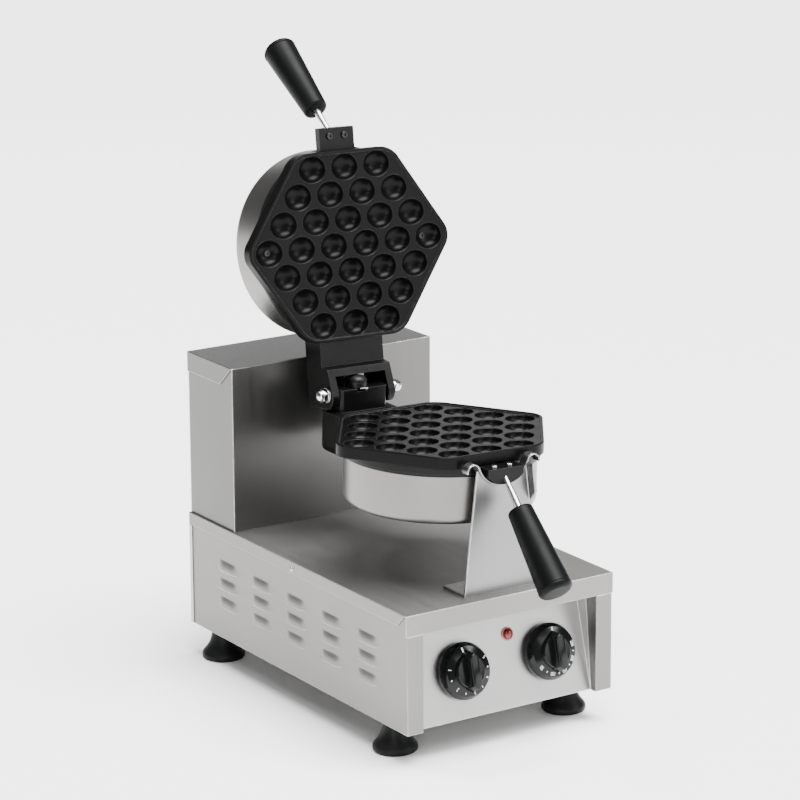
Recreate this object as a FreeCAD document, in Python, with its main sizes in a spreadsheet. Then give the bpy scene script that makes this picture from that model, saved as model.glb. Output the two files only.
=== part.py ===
import FreeCAD, Part
import os
import re
import Sketcher

# Egg waffle machine on a stainless base: two hinged mould plates that roll about a front to back axis.
# Millimetres. X to the right, Y to the back, Z up, origin on the floor below the middle of the footprint.
# Distances named "behind" or "inset" start at the front face of the base, which looks along -Y.

doc = FreeCAD.newDocument("EggWaffleMachine")
sheet = doc.addObject("Spreadsheet::Sheet", "Sizes")

SIZES = {
    # base box and feet
    "FrontToCentre": 184.0,
    "BaseWidth": 250.0,
    "BaseDepth": 420.0,
    "BaseHeight": 123.4,
    "SheetWall": 1.2,
    "FrontApron": 21.5,
    "SideApron": 13.5,
    "ApronMitreStart": 4.0,
    "ApronMitreRun": 12.0,
    "ReturnFoot": 7.8,
    "ReturnTop": 18.5,
    "PostWidth": 20.5,
    "RearWrap": 5.0,
    "TrayFlange": 12.0,
    "FootHeight": 34.6,
    "FootDiameter": 46.0,
    "FootNeckDiameter": 28.0,
    "FootSoleHeight": 7.0,
    "FootBevel": 2.0,
    "FootWaistHeight": 15.0,
    "FootWaistDiameter": 36.0,
    "FootScrewDepth": 16.0,
    "FootSideInset": 21.7,
    "FootFrontInset": 53.6,
    "FootRearInset": 31.2,
    "FootScrewDiameter": 8.0,
    "FootScrewHead": 13.0,
    "FootScrewHeadHeight": 5.0,
    # louvres in both side walls
    "LouvreFirst": 72.2,
    "LouvreRearMargin": 78.2,
    "LouvreTopDrop": 47.2,
    "LouvreRowPitch": 20.3,
    "LouvreLength": 38.0,
    "LouvreHeight": 12.0,
    "LouvreBulge": 4.6,
    # control panel, its dials and lamp
    "PanelFootInset": 8.5,
    "PanelTilt": 15.16,
    "PanelGap": 0.4,
    "DialSideInset": 72.8,
    "DialShift": 5.9,
    "DialUp": 48.1,
    "DialDiameter": 58.0,
    "DialRimHeight": 5.5,
    "DialLift": 2.5,
    "DialBevel": 1.5,
    "DialShoulderDiameter": 50.0,
    "DialShoulderRise": 7.0,
    "DialHubRise": 5.0,
    "DialHubDiameter": 34.0,
    "GripBarLength": 44.0,
    "GripBarWidth": 15.0,
    "GripBarPoint": 5.0,
    "GripBarHeight": 14.0,
    "SpindleTop": 22.0,
    "SpindleDepth": 16.0,
    "SpindleDiameter": 6.0,
    "SpindleFit": 0.1,
    "SwitchWidth": 42.0,
    "SwitchDepth": 30.0,
    "SwitchHeight": 46.0,
    "LampSide": 14.2,
    "LampUp": 74.1,
    "LampDiameter": 14.0,
    "LampDomeDiameter": 12.0,
    "LampFlangeHeight": 1.5,
    "LampDomeHeight": 6.0,
    "LampBodyDiameter": 10.0,
    "LampBodyLength": 24.0,
    # tower at the back
    "TowerDepth": 92.4,
    "TowerHeight": 176.7,
    "TowerSideInset": 1.7,
    "TowerFlap": 21.5,
    "TowerFlapStart": 2.7,
    "TowerFlapRun": 22.5,
    "TowerFoot": 12.0,
    # roll axis, its shaft and bearings
    "AxisAboveTop": 140.9,
    "RestRollAngle": 1.58,
    "ShaftDiameter": 28.0,
    "ShaftBore": 18.0,
    "ShaftTail": 8.0,
    "RunningFit": 0.06,
    "BushWall": 4.0,
    "BushFlangeDiameter": 54.0,
    "BushFlangeThickness": 5.0,
    "BearingPlateThickness": 5.0,
    "BearingPlateWidth": 92.0,
    "BearingPlateTop": 34.0,
    "BearingPlateFoot": 24.0,
    "FrontBearingGap": 2.0,
    "RearBearingGap": 38.0,
    "CollarDiameter": 44.0,
    "CollarLength": 12.0,
    "CollarGap": 0.4,
    # cradle that carries the front journal
    "JournalDiameter": 59.0,
    "JournalClearance": 0.5,
    "StripInset": 13.7,
    "StripDepth": 10.7,
    "StripThickness": 1.6,
    "SaddleHalfAngle": 65.6,
    "HornStraight": 3.0,
    "HornRadius": 7.0,
    "HornTurnAngle": 168.0,
    "CradleInset": 16.0,
    "CradleThickness": 2.5,
    "CradleFootHalfWidth": 45.0,
    "CradleTopHalfWidth": 30.2,
    "CradleTopDrop": 13.5,
    "CradleFlange": 38.0,
    "WingDepth": 11.5,
    "WingDrop": 40.0,
    "CradleScrewSide": 30.0,
    "CradleScrewInset": 8.0,
    # mould plates with their oval cavities
    "PanFrontInset": 26.6,
    "PanToPin": 55.0,
    "FaceGap": 0.2,
    "HexHalfLength": 126.0,
    "HexFlatShare": 0.46032,
    "HexCorner": 13.0,
    "MouldFloor": 1.0,
    "RimWidth": 3.2,
    "RimHeight": 1.6,
    "CavityEndMargin": 28.325,
    "CavityRowMargin": 17.21,
    "CavityLengthShare": 0.79857,
    "CavityWidthShare": 0.98403,
    "CavityDepthShare": 0.37736,
    "MouldScrewShift": 2.675,
    "MouldScrewDiameter": 7.0,
    "MouldScrewRise": 1.5,
    # cast carriers behind the mould plates
    "DiscProud": 4.0,
    "DiscThickness": 7.2,
    "BracketHalfWidth": 38.5,
    "BracketBeforePin": 72.6,
    "BracketBehindPin": 9.4,
    "BracketDrop": 57.5,
    "BracketCorner": 9.0,
    "KnuckleHalfWidth": 28.5,
    "KnuckleBeforePin": 11.6,
    "KnuckleTop": 11.0,
    "KnuckleBevel": 3.0,
    "NotchHalfWidth": 6.0,
    "NotchDepth": 3.0,
    "HubDiameter": 36.0,
    "HubOverlap": 2.0,
    "HubLength": 10.0,
    "EarThickness": 8.0,
    "EarBehindPin": 13.9,
    "EarFace": -5.2,
    "EarStepBeforePin": 26.1,
    "EarStepRun": 2.5,
    "EarStepFace": 2.0,
    "WebBeforePin": 18.6,
    "WebThickness": 8.0,
    "PocketInset": 26.0,
    "UpperBracketRise": 42.0,
    "EarCorner": 8.0,
    "LugHalfWidth": 21.0,
    "LowerLugInset": 9.0,
    "UpperLugInset": 3.0,
    "LugRoot": 14.0,
    "LugScrewSide": 9.0,
    "LugScrewInset": 8.5,
    "LugScrewHead": 7.0,
    "LugScrewRise": 2.0,
    # hinge pin and what it carries
    "PinToTower": 50.0,
    "PinLift": 5.3,
    "PinDiameter": 8.0,
    "PinFit": 0.06,
    "LidOpeningAngle": 99.2,
    "WasherDiameter": 16.0,
    "WasherThickness": 1.6,
    "WasherGap": 0.3,
    "NutAcross": 13.0,
    "NutHeight": 6.0,
    "NutDome": 5.5,
    "LeadShift": 3.0,
    "LeadBeforePin": 1.6,
    "LeadBushDiameter": 17.0,
    "LeadBushTop": 19.5,
    "LeadBore": 8.0,
    # drums, heaters and insulation
    "DrumStep": 4.0,
    "DrumHeight": 53.0,
    "DrumWall": 1.0,
    "DrumCorner": 8.0,
    "DrumClearance": 1.2,
    "DrumBoltDiameter": 6.0,
    "DrumBoltHead": 11.0,
    "HeaterInset": 24.0,
    "HeaterWidth": 16.0,
    "HeaterHeight": 8.0,
    "PadClearance": 0.4,
    # handles
    "HandleAngle": 45.5,
    "HandleReachInset": 12.0,
    "HandleReachDrop": 22.0,
    "RodRoot": 8.0,
    "RodLength": 38.0,
    "RodFit": 0.05,
    "RodStartDiameter": 5.4,
    "RodEndDiameter": 7.4,
    "RodTaperStart": 6.0,
    "GripLength": 96.0,
    "GripStartDiameter": 24.0,
    "GripEndDiameter": 33.0,
    "GripCorner": 4.5,
    "GripCap": 7.0,
    "GripSocket": 14.0,
    # small fasteners and fittings
    "ScrewDiameter": 4.0,
    "ScrewHeadDiameter": 8.0,
    "ScrewHeadHeight": 2.6,
    "RivetInset": 212.0,
    "RivetDrop": 8.5,
    "RivetDiameter": 5.0,
    "RivetRise": 1.2,
    "GlandDiameter": 18.0,
    "GlandBore": 8.0,
    "GlandLength": 14.0,
    "GlandTail": 6.0,
    "GlandFlange": 26.0,
    "GlandSide": 70.0,
    "GlandHeight": 40.0,
    "TerminalLength": 60.0,
    "TerminalWidth": 22.0,
    "TerminalHeight": 18.0,
    "TerminalInset": 40.0,
}

CAVITY_ROWS = (3, 4, 5, 6, 5, 4, 3)
LOUVRE_COLUMNS = 5
LOUVRE_ROWS = 3

# sizes that follow from the ones above
DERIVED = {
    "HalfWidth": "BaseWidth / 2",
    "WallFace": "HalfWidth - SheetWall",
    "BaseTop": "FootHeight + BaseHeight",
    "PostInner": "HalfWidth - PostWidth",
    "TowerHalf": "HalfWidth - TowerSideInset",
    "TowerFront": "BaseDepth - TowerDepth",
    "TowerTop": "BaseTop + TowerHeight",
    "FootSide": "HalfWidth - FootSideInset",
    "DialSpread": "HalfWidth - DialSideInset",
    "LouvreColumnPitch": f"(BaseDepth - LouvreFirst - LouvreRearMargin) / {LOUVRE_COLUMNS - 1}",
    "PinInset": "TowerFront - PinToTower",
    "LeadInset": "PinInset - LeadBeforePin",
    "HexHalfDepth": "(PinInset - PanToPin - PanFrontInset) / 2",
    "HexHalfFlat": "HexHalfLength * HexFlatShare",
    "PanCentreInset": "PanFrontInset + HexHalfDepth",
    "CavityPitch": f"(HexHalfLength - CavityEndMargin) / {(max(CAVITY_ROWS) - 1) / 2}",
    "RowPitch": f"(HexHalfDepth - CavityRowMargin) / {(len(CAVITY_ROWS) - 1) / 2}",
    "CavityLength": "CavityPitch * CavityLengthShare",
    "CavityWidth": "RowPitch * CavityWidthShare",
    "CavityDepth": "CavityWidth * CavityDepthShare",
    "MouldThickness": "RimHeight + CavityDepth + MouldFloor",
    "MouldScrewSide": "HexHalfLength - CavityEndMargin - MouldScrewShift",
    "DiscDiameter": "2 * (HexHalfDepth + DiscProud)",
    "DrumDiameter": "DiscDiameter - 2 * DrumStep",
    "HeaterRadius": "DrumDiameter / 2 - HeaterInset",
    "BracketStart": "PinInset - BracketBeforePin",
    "BracketRearInset": "PinInset + BracketBehindPin",
    "KnuckleFrontInset": "PinInset - KnuckleBeforePin",
    "HubRearInset": "BracketRearInset + HubLength",
    "EarEndInset": "PinInset + EarBehindPin",
    "EarStepInset": "PinInset - EarStepBeforePin",
    "WebEndInset": "PinInset - WebBeforePin",
    "AxisHeight": "BaseTop + AxisAboveTop",
    "CarrierFace": "FaceGap + MouldThickness",
    "CarrierBack": "CarrierFace + DiscThickness",
    "DrumEnd": "CarrierBack + DrumHeight",
    "SaddleRadius": "JournalDiameter / 2 + JournalClearance",
    "PinEnd": "BracketHalfWidth + WasherGap + WasherThickness + NutHeight",
    "FrontBearing": "TowerFront + SheetWall + FrontBearingGap",
    "RearBearing": "BaseDepth - SheetWall - RearBearingGap",
    "BushDiameter": "ShaftDiameter + 2 * RunningFit + 2 * BushWall",
    "HexSlant": "sqrt(HexHalfDepth ^ 2 + (HexHalfLength - HexHalfFlat) ^ 2)",
    "Overrun": "SheetWall",
}


def fill(table):
    """Writes names and cells from a table, one row each."""
    for row, (alias, content) in enumerate(table.items(), start=1):
        formula = f"={content}" if isinstance(content, str) else str(content)
        sheet.set(f"A{row}", alias)
        sheet.set(f"B{row}", formula)
        sheet.setAlias(f"B{row}", alias)


fill(SIZES | DERIVED)
doc.recompute()

# where each group stands: the base, the rolling pans and the lid that hinges on them
STATION_BASE = "placement(vector(0; -FrontToCentre; 0); rotation(vector(0; 0; 1); 0))"
STATION_PANS = "placement(vector(0; -FrontToCentre; AxisHeight); rotation(vector(0; 1; 0); RestRollAngle))"
STATION_LID = (
    f"{STATION_PANS}"
    " * placement(vector(0; PinInset; PinLift); rotation(vector(1; 0; 0); -LidOpeningAngle))"
    " * placement(vector(0; -PinInset; -PinLift); rotation(vector(0; 0; 1); 0))"
)
TURNS = {
    "x": "rotation(vector(0; 1; 0); 90)",
    "y": "rotation(vector(1; 0; 0); -90)",
    "z": "rotation(vector(0; 0; 1); 0)",
}
LOCAL = {}
NODES = []

SIDES = (("left", "-"), ("right", ""))
DIALS = {"timer": "DialShift - DialSpread", "thermostat": "DialShift + DialSpread"}
GLAND_CENTRE = ("GlandSide", "FootHeight + GlandHeight")
FEET = [
    (f"{end}_{side}", (f"{sign}FootSide", inset))
    for end, inset in (("front", "FootFrontInset"), ("rear", "BaseDepth - FootRearInset"))
    for side, sign in SIDES
]
# profile points of a louvre and of a cavity: share of the half length, share of the full swell
LOUVRE_SHARES = ((-1, 0), (-0.52, 0.74), (0, 1), (0.52, 0.74), (1, 0))
CAVITY_SHARES = ((-1, 0), (-0.82, 0.6), (-0.4, 0.96), (0.4, 0.96), (0.82, 0.6), (1, 0))
QUARTER = 90
FULL_TURN = 360
CENTRE = ("0", "0")
UPRIGHT = FreeCAD.Vector(0, 0, 1)


def cells(expression):
    """Expression in which every known name reads its cell of the sheet."""
    known = SIZES.keys() | DERIVED.keys()

    def cell(word):
        return f"Sizes.{word.group()}" if word.group() in known else word.group()

    return re.sub(r"[A-Z][A-Za-z]+", cell, expression)


def number(expression):
    """Number that an expression of named sizes gives."""
    return float(sheet.evalExpression(expression))


def place(item, position, turn=TURNS["z"], frame=""):
    """Sets where a solid lies in the coordinates of its group."""
    x, y, z = position
    LOCAL[item.Name] = f"{frame}placement(vector({x}; {y}; {z}); {turn})"
    item.setExpression("Placement", cells(LOCAL[item.Name]))
    return item


def box(name, x, y, z, frame=""):
    """Block between two limits along each direction."""
    solid = doc.addObject("Part::Box", name)
    for side, (low, high) in zip(("Length", "Width", "Height"), (x, y, z)):
        solid.setExpression(side, cells(f"({high}) - ({low})"))
    return place(solid, (x[0], y[0], z[0]), frame=frame)


def round_bar(name, axis, centre, radius, span, frame="", end_radius=None):
    """Cylinder or cone along one axis, from the first to the second limit."""
    low, high = span
    solid = doc.addObject("Part::Cone" if end_radius else "Part::Cylinder", name)
    if end_radius:
        solid.setExpression("Radius1", cells(radius))
        solid.setExpression("Radius2", cells(end_radius))
    else:
        solid.setExpression("Radius", cells(radius))
    solid.setExpression("Height", cells(f"({high}) - ({low})"))
    first, second = centre
    position = {"x": (low, first, second), "y": (first, low, second), "z": (first, second, low)}[axis]
    return place(solid, position, TURNS[axis], frame)


def combine(kind, name, parts):
    """One of the joining operations on several solids."""
    result = doc.addObject(kind, name)
    if kind == "Part::Compound":
        result.Links = list(parts)
    else:
        result.Shapes = list(parts)
    return result


def fuse(name, *parts):
    """Several solids made one."""
    return combine("Part::MultiFuse", name, parts)


def common(name, *parts):
    """The space that all the solids share."""
    return combine("Part::MultiCommon", name, parts)


def cut(name, solid, *tools):
    """A solid less one or more tools."""
    result = doc.addObject("Part::Cut", name)
    result.Base = solid
    result.Tool = tools[0] if len(tools) == 1 else combine("Part::Compound", f"{name}Tools", tools)
    return result


def role(body, name):
    """Origin plane or axis of a body."""
    return next(item for item in body.Origin.OriginFeatures if item.Role == name)


def add_segment(sketch, start, end, radius):
    """Line, or arc that turns left for a positive radius and right for a negative one."""
    vectors = [FreeCAD.Vector(number(u), number(v), 0) for u, v in (start, end)]
    if radius is None:
        return sketch.addGeometry(Part.LineSegment(*vectors), False), 1, 2
    bend = number(radius)
    chord = vectors[1] - vectors[0]
    left = FreeCAD.Vector(-chord.y, chord.x, 0).normalize()
    rise = max(bend * bend - chord.Length ** 2 / 4, 0) ** 0.5
    centre = (vectors[0] + vectors[1]) * 0.5 + left * (rise if bend > 0 else -rise)
    angles = [(point - centre).getAngle(FreeCAD.Vector(1, 0, 0)) for point in vectors]
    angles = [angle if point.y >= centre.y else -angle for angle, point in zip(angles, vectors)]
    if bend < 0:
        angles.reverse()
    circle = Part.Circle(centre, FreeCAD.Vector(0, 0, 1), abs(bend))
    item = sketch.addGeometry(Part.ArcOfCircle(circle, *angles), False)
    limit = sketch.addConstraint(Sketcher.Constraint("Radius", item, abs(bend)))
    sketch.setExpression(f"Constraints[{limit}]", cells(radius if bend > 0 else f"-({radius})"))
    return (item, 1, 2) if bend > 0 else (item, 2, 1)


def outline(body, name, plane, points, offset="0"):
    """Closed sketch through points given as two lengths, with a third one for an arc that ends there."""
    sketch = body.newObject("Sketcher::SketchObject", name)
    sketch.AttachmentSupport = [(role(body, f"{plane}_Plane"), "")]
    sketch.MapMode = "FlatFace"
    sketch.setExpression("AttachmentOffset.Base.z", cells(offset))
    corners = [(u, v) for u, v, *rest in points]
    ends = []
    for index, (start, point) in enumerate(zip(corners[-1:] + corners[:-1], points)):
        radius = point[2] if len(point) > 2 else None
        ends.append(add_segment(sketch, start, corners[index], radius))
    for index, (item, first, last) in enumerate(ends):
        following = ends[(index + 1) % len(ends)]
        sketch.addConstraint(Sketcher.Constraint("Coincident", item, last, following[0], following[1]))
        for kind, expression in zip(("DistanceX", "DistanceY"), corners[index]):
            limit = sketch.addConstraint(Sketcher.Constraint(kind, item, last, number(expression)))
            sketch.setExpression(f"Constraints[{limit}]", cells(expression))
    return sketch


def prism(name, plane, points, span):
    """Body with one pad of an outline between two limits along its normal."""
    body = doc.addObject("PartDesign::Body", name)
    low, high = span
    backwards = plane == "XZ"
    sketch = outline(body, f"{name}Outline", plane, points, f"-({low})" if backwards else low)
    pad = body.newObject("PartDesign::Pad", f"{name}Pad")
    pad.Profile = sketch
    pad.Reversed = backwards
    pad.setExpression("Length", cells(f"({high}) - ({low})"))
    body.Tip = pad
    doc.recompute()
    return body


def lathe(name, axis, points, centre=("0", "0"), frame=""):
    """Body of revolution about an axis from points of radius and height."""
    body = doc.addObject("PartDesign::Body", name)
    along_x = axis == "x"
    turned = [(p[1], p[0], *(f"-({r})" for r in p[2:])) if along_x else p for p in points]
    sketch = outline(body, f"{name}Profile", "XZ" if axis == "z" else "XY", turned)
    solid = body.newObject("PartDesign::Revolution", f"{name}Turned")
    solid.Profile = sketch
    solid.ReferenceAxis = (sketch, ["H_Axis" if along_x else "V_Axis"])
    body.Tip = solid
    doc.recompute()
    first, second = centre
    position = {"x": ("0", first, second), "y": (first, "0", second), "z": (first, second, "0")}[axis]
    return place(body, position, frame=frame)


def round_edges(body, name, radius, chosen):
    """Rounds the edges of a body that the test picks by their middle and direction."""
    base = body.Tip
    picked = [f"Edge{i}" for i, edge in enumerate(base.Shape.Edges, start=1) if chosen(edge)]
    fillet = body.newObject("PartDesign::Fillet", name)
    fillet.Base = (base, picked)
    fillet.setExpression("Radius", cells(radius))
    body.Tip = fillet
    doc.recompute()
    return body


def runs_along(edge, axis):
    """Whether an edge is straight and parallel to an axis."""
    return edge.Curve.TypeId == "Part::GeomLine" and abs(edge.Curve.Direction.dot(axis)) == 1


def node(label, station, *solids):
    """Names a finished piece and stands it in the frame of the whole machine."""
    if len(solids) > 1 or solids[0].TypeId in ("Part::Box", "Part::Cylinder", "Part::Cone"):
        item = combine("Part::Compound", f"Piece_{label}", solids)
    else:
        item = solids[0]
    item.Label = label
    local = LOCAL.get(item.Name, "")
    item.setExpression("Placement", cells(f"{station} * {local}" if local else station))
    NODES.append(item)
    return item


def across(sign, inner, outer):
    """Limits along X on one side, low one first."""
    return (f"-({outer})", f"-({inner})") if sign else (inner, outer)


def top_cover():
    """Top sheet folded down over all four sides, the side folds mitred at the front."""
    full = ("-HalfWidth", "HalfWidth")
    top = box("CoverTop", full, ("0", "BaseDepth"), ("BaseTop - SheetWall", "BaseTop"))
    front = box("CoverFront", full, ("0", "SheetWall"), ("BaseTop - FrontApron", "BaseTop - SheetWall"))
    back = ("BaseDepth - SheetWall", "BaseDepth")
    rear = box("CoverRear", full, back, ("BaseTop - SideApron", "BaseTop - SheetWall"))
    fold = [
        ("ApronMitreStart", "BaseTop - SheetWall"),
        ("ApronMitreStart + ApronMitreRun", "BaseTop - SideApron"),
        ("BaseDepth", "BaseTop - SideApron"),
        ("BaseDepth", "BaseTop - SheetWall"),
    ]
    folds = [
        prism(f"CoverFold{side}", "YZ", fold, across(sign, "WallFace", "HalfWidth"))
        for side, sign in SIDES
    ]
    node("base_top_cover", STATION_BASE, fuse("CoverSheet", top, front, rear, *folds))


def louvre_drum(inset):
    """Quarter of a drum with a pointed profile, its flat side down, as one shape at the origin."""
    bulge, height, wall = number("LouvreBulge"), number("LouvreHeight"), number("SheetWall")
    reach = (height ** 2 - bulge ** 2) / (2 * bulge)
    half = number("LouvreLength") / 2 - inset
    edge = [(half * along, reach + (bulge - inset) * out) for along, out in LOUVRE_SHARES]
    edge = [(-half, reach - wall)] + edge + [(half, reach - wall)]
    wire = Part.makePolygon([FreeCAD.Vector(radius, along, 0) for along, radius in edge + edge[:1]])
    drum = Part.Face(wire).revolve(FreeCAD.Vector(), FreeCAD.Vector(0, -1, 0), QUARTER)
    keep = Part.makeBox(reach, 2 * half, reach + height, FreeCAD.Vector(reach - wall, -half, 0))
    drum = drum.common(keep)
    drum.translate(FreeCAD.Vector(-reach, 0, 0))
    return drum


def louvre_grid(name, inset, side_sign):
    """All louvres of one side wall, pressed outwards."""
    drum = louvre_drum(inset)
    face = number("WallFace")
    copies = []
    for column in range(LOUVRE_COLUMNS):
        for level in range(LOUVRE_ROWS):
            copy = drum.copy()
            along = number("LouvreFirst") + column * number("LouvreColumnPitch")
            up = number("BaseTop - LouvreTopDrop") - level * number("LouvreRowPitch")
            copy.translate(FreeCAD.Vector(face, along, up))
            copies.append(copy.mirror(FreeCAD.Vector(), FreeCAD.Vector(1, 0, 0)) if side_sign else copy)
    grid = doc.addObject("Part::Feature", name)
    grid.Shape = Part.makeCompound(copies)
    return grid


def side_panels():
    """Side walls with louvres, a front post and its return towards the control panel."""
    for side, sign in SIDES:
        name = f"Wall{side}"
        wall = box(
            f"{name}Sheet",
            across(sign, "WallFace - SheetWall", "WallFace"),
            ("0", "BaseDepth - SheetWall"),
            ("FootHeight", "BaseTop - SheetWall"),
        )
        relief = box(
            f"{name}Relief",
            across(sign, "WallFace - SheetWall - Overrun", "WallFace + Overrun"),
            ("-Overrun", "SheetWall"),
            ("BaseTop - FrontApron", "BaseTop"),
        )
        below_apron = ("FootHeight", "BaseTop - FrontApron")
        post = box(f"{name}Post", across(sign, "PostInner", "WallFace"), ("0", "SheetWall"), below_apron)
        fold = [
            ("0", "FootHeight"),
            ("ReturnFoot", "FootHeight"),
            ("ReturnTop", "BaseTop - FrontApron"),
            ("0", "BaseTop - FrontApron"),
        ]
        post_return = prism(f"{name}Return", "YZ", fold, across(sign, "PostInner", "PostInner + SheetWall"))
        skins = fuse(f"{name}Skin", wall, post, post_return, louvre_grid(f"{name}Louvres", 0, sign))
        hollows = louvre_grid(f"{name}Slots", number("SheetWall"), sign)
        node(f"side_panel_{side}", STATION_BASE, cut(f"{name}Done", skins, hollows, relief))


def rear_panel():
    """Lower rear wall that wraps round both corners, with the hole for the cable gland."""
    back = ("BaseDepth - SheetWall", "BaseDepth")
    levels = ("FootHeight", "BaseTop - SideApron")
    sheet_part = box("RearSheet", ("-HalfWidth", "HalfWidth"), back, levels)
    wrap = ("BaseDepth - RearWrap", "BaseDepth - SheetWall")
    wraps = [
        box(f"RearWrap{side}", across(sign, "WallFace", "HalfWidth"), wrap, levels)
        for side, sign in SIDES
    ]
    through = ("BaseDepth - SheetWall - Overrun", "BaseDepth + Overrun")
    hole = round_bar("RearHole", "y", GLAND_CENTRE, "GlandDiameter / 2", through)
    node("base_rear_panel", STATION_BASE, cut("RearDone", fuse("RearFolded", sheet_part, *wraps), hole))


def bottom_tray():
    """Bottom sheet with upturned sides that carries the feet and the terminal block."""
    inner = "WallFace - SheetWall"
    run = ("PanelFootInset + 2 * SheetWall", "BaseDepth - SheetWall")
    levels = ("FootHeight", "FootHeight + SheetWall")
    floor = box("TrayFloor", (f"-({inner})", inner), run, levels)
    rims = []
    for side, sign in SIDES:
        width = across(sign, f"{inner} - SheetWall", inner)
        rims.append(box(f"TrayRim{side}", width, run, ("FootHeight", "FootHeight + TrayFlange")))
    through = ("FootHeight - Overrun", "FootHeight + SheetWall + Overrun")
    radius = "FootScrewDiameter / 2"
    holes = [round_bar(f"TrayHole_{label}", "z", spot, radius, through) for label, spot in FEET]
    node("base_bottom_plate", STATION_BASE, cut("TrayDone", fuse("TraySheet", floor, *rims), *holes))


def feet():
    """Conical rubber feet, each held by a screw from inside the base."""
    screws = []
    for label, spot in FEET:
        profile = [
            ("0", "0"),
            ("FootDiameter / 2 - FootBevel", "0"),
            ("FootDiameter / 2", "FootBevel"),
            ("FootDiameter / 2", "FootSoleHeight"),
            ("FootWaistDiameter / 2", "FootWaistHeight"),
            ("FootNeckDiameter / 2", "FootHeight"),
            ("FootScrewDiameter / 2", "FootHeight"),
            ("FootScrewDiameter / 2", "FootHeight - FootScrewDepth"),
            ("0", "FootHeight - FootScrewDepth"),
        ]
        node(f"foot_{label}", STATION_BASE, lathe(f"Foot_{label}", "z", profile, spot))
        grip = ("FootHeight - FootScrewDepth", "FootHeight + SheetWall")
        shank = round_bar(f"FootShank_{label}", "z", spot, "FootScrewDiameter / 2", grip)
        head_levels = ("FootHeight + SheetWall", "FootHeight + SheetWall + FootScrewHeadHeight")
        head = round_bar(f"FootHead_{label}", "z", spot, "FootScrewHead / 2", head_levels)
        screws.append(fuse(f"FootScrew_{label}", shank, head))
    node("foot_screws", STATION_BASE, *screws)


def panel_frame(across_panel, up_panel):
    """Frame on the front of the sloping control panel, its Z out of the panel."""
    inset = f"PanelFootInset + ({up_panel}) * sin(PanelTilt)"
    level = f"FootHeight + ({up_panel}) * cos(PanelTilt)"
    return f"placement(vector({across_panel}; {inset}; {level}); rotation(vector(1; 0; 0); 90 - PanelTilt))"


def control_panel():
    """Sloping sheet between the posts, with side folds and holes for two spindles and the lamp."""
    thick = "SheetWall / cos(PanelTilt)"
    top = "PanelFootInset + tan(PanelTilt) * (BaseHeight - SheetWall)"
    shoulder = "PanelFootInset + tan(PanelTilt) * (BaseHeight - FrontApron)"
    sheet_outline = [
        ("PanelFootInset", "FootHeight"),
        (f"PanelFootInset + {thick}", "FootHeight"),
        (f"{top} + {thick}", "BaseTop - SheetWall"),
        (top, "BaseTop - SheetWall"),
    ]
    half = "PostInner + SheetWall"
    slope = prism("PanelSheet", "YZ", sheet_outline, (f"-({half})", half))
    fold = [
        ("ReturnFoot + PanelGap", "FootHeight"),
        (f"PanelFootInset + {thick}", "FootHeight"),
        (f"{shoulder} + {thick}", "BaseTop - FrontApron"),
        ("ReturnTop + PanelGap", "BaseTop - FrontApron"),
    ]
    folds = [prism(f"PanelFold{side}", "YZ", fold, across(sign, "PostInner", half)) for side, sign in SIDES]
    through = ("-SheetWall - Overrun", "Overrun")
    holes = []
    for name, spot in DIALS.items():
        frame = f"{panel_frame(spot, 'DialUp')} * "
        radius = "SpindleDiameter / 2 + PanelGap"
        holes.append(round_bar(f"PanelHole_{name}", "z", CENTRE, radius, through, frame))
    frame = f"{panel_frame('LampSide', 'LampUp')} * "
    holes.append(round_bar("PanelHole_lamp", "z", CENTRE, "LampBodyDiameter / 2", through, frame))
    node("control_panel", STATION_BASE, cut("PanelDone", fuse("PanelFolded", slope, *folds), *holes))


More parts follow.
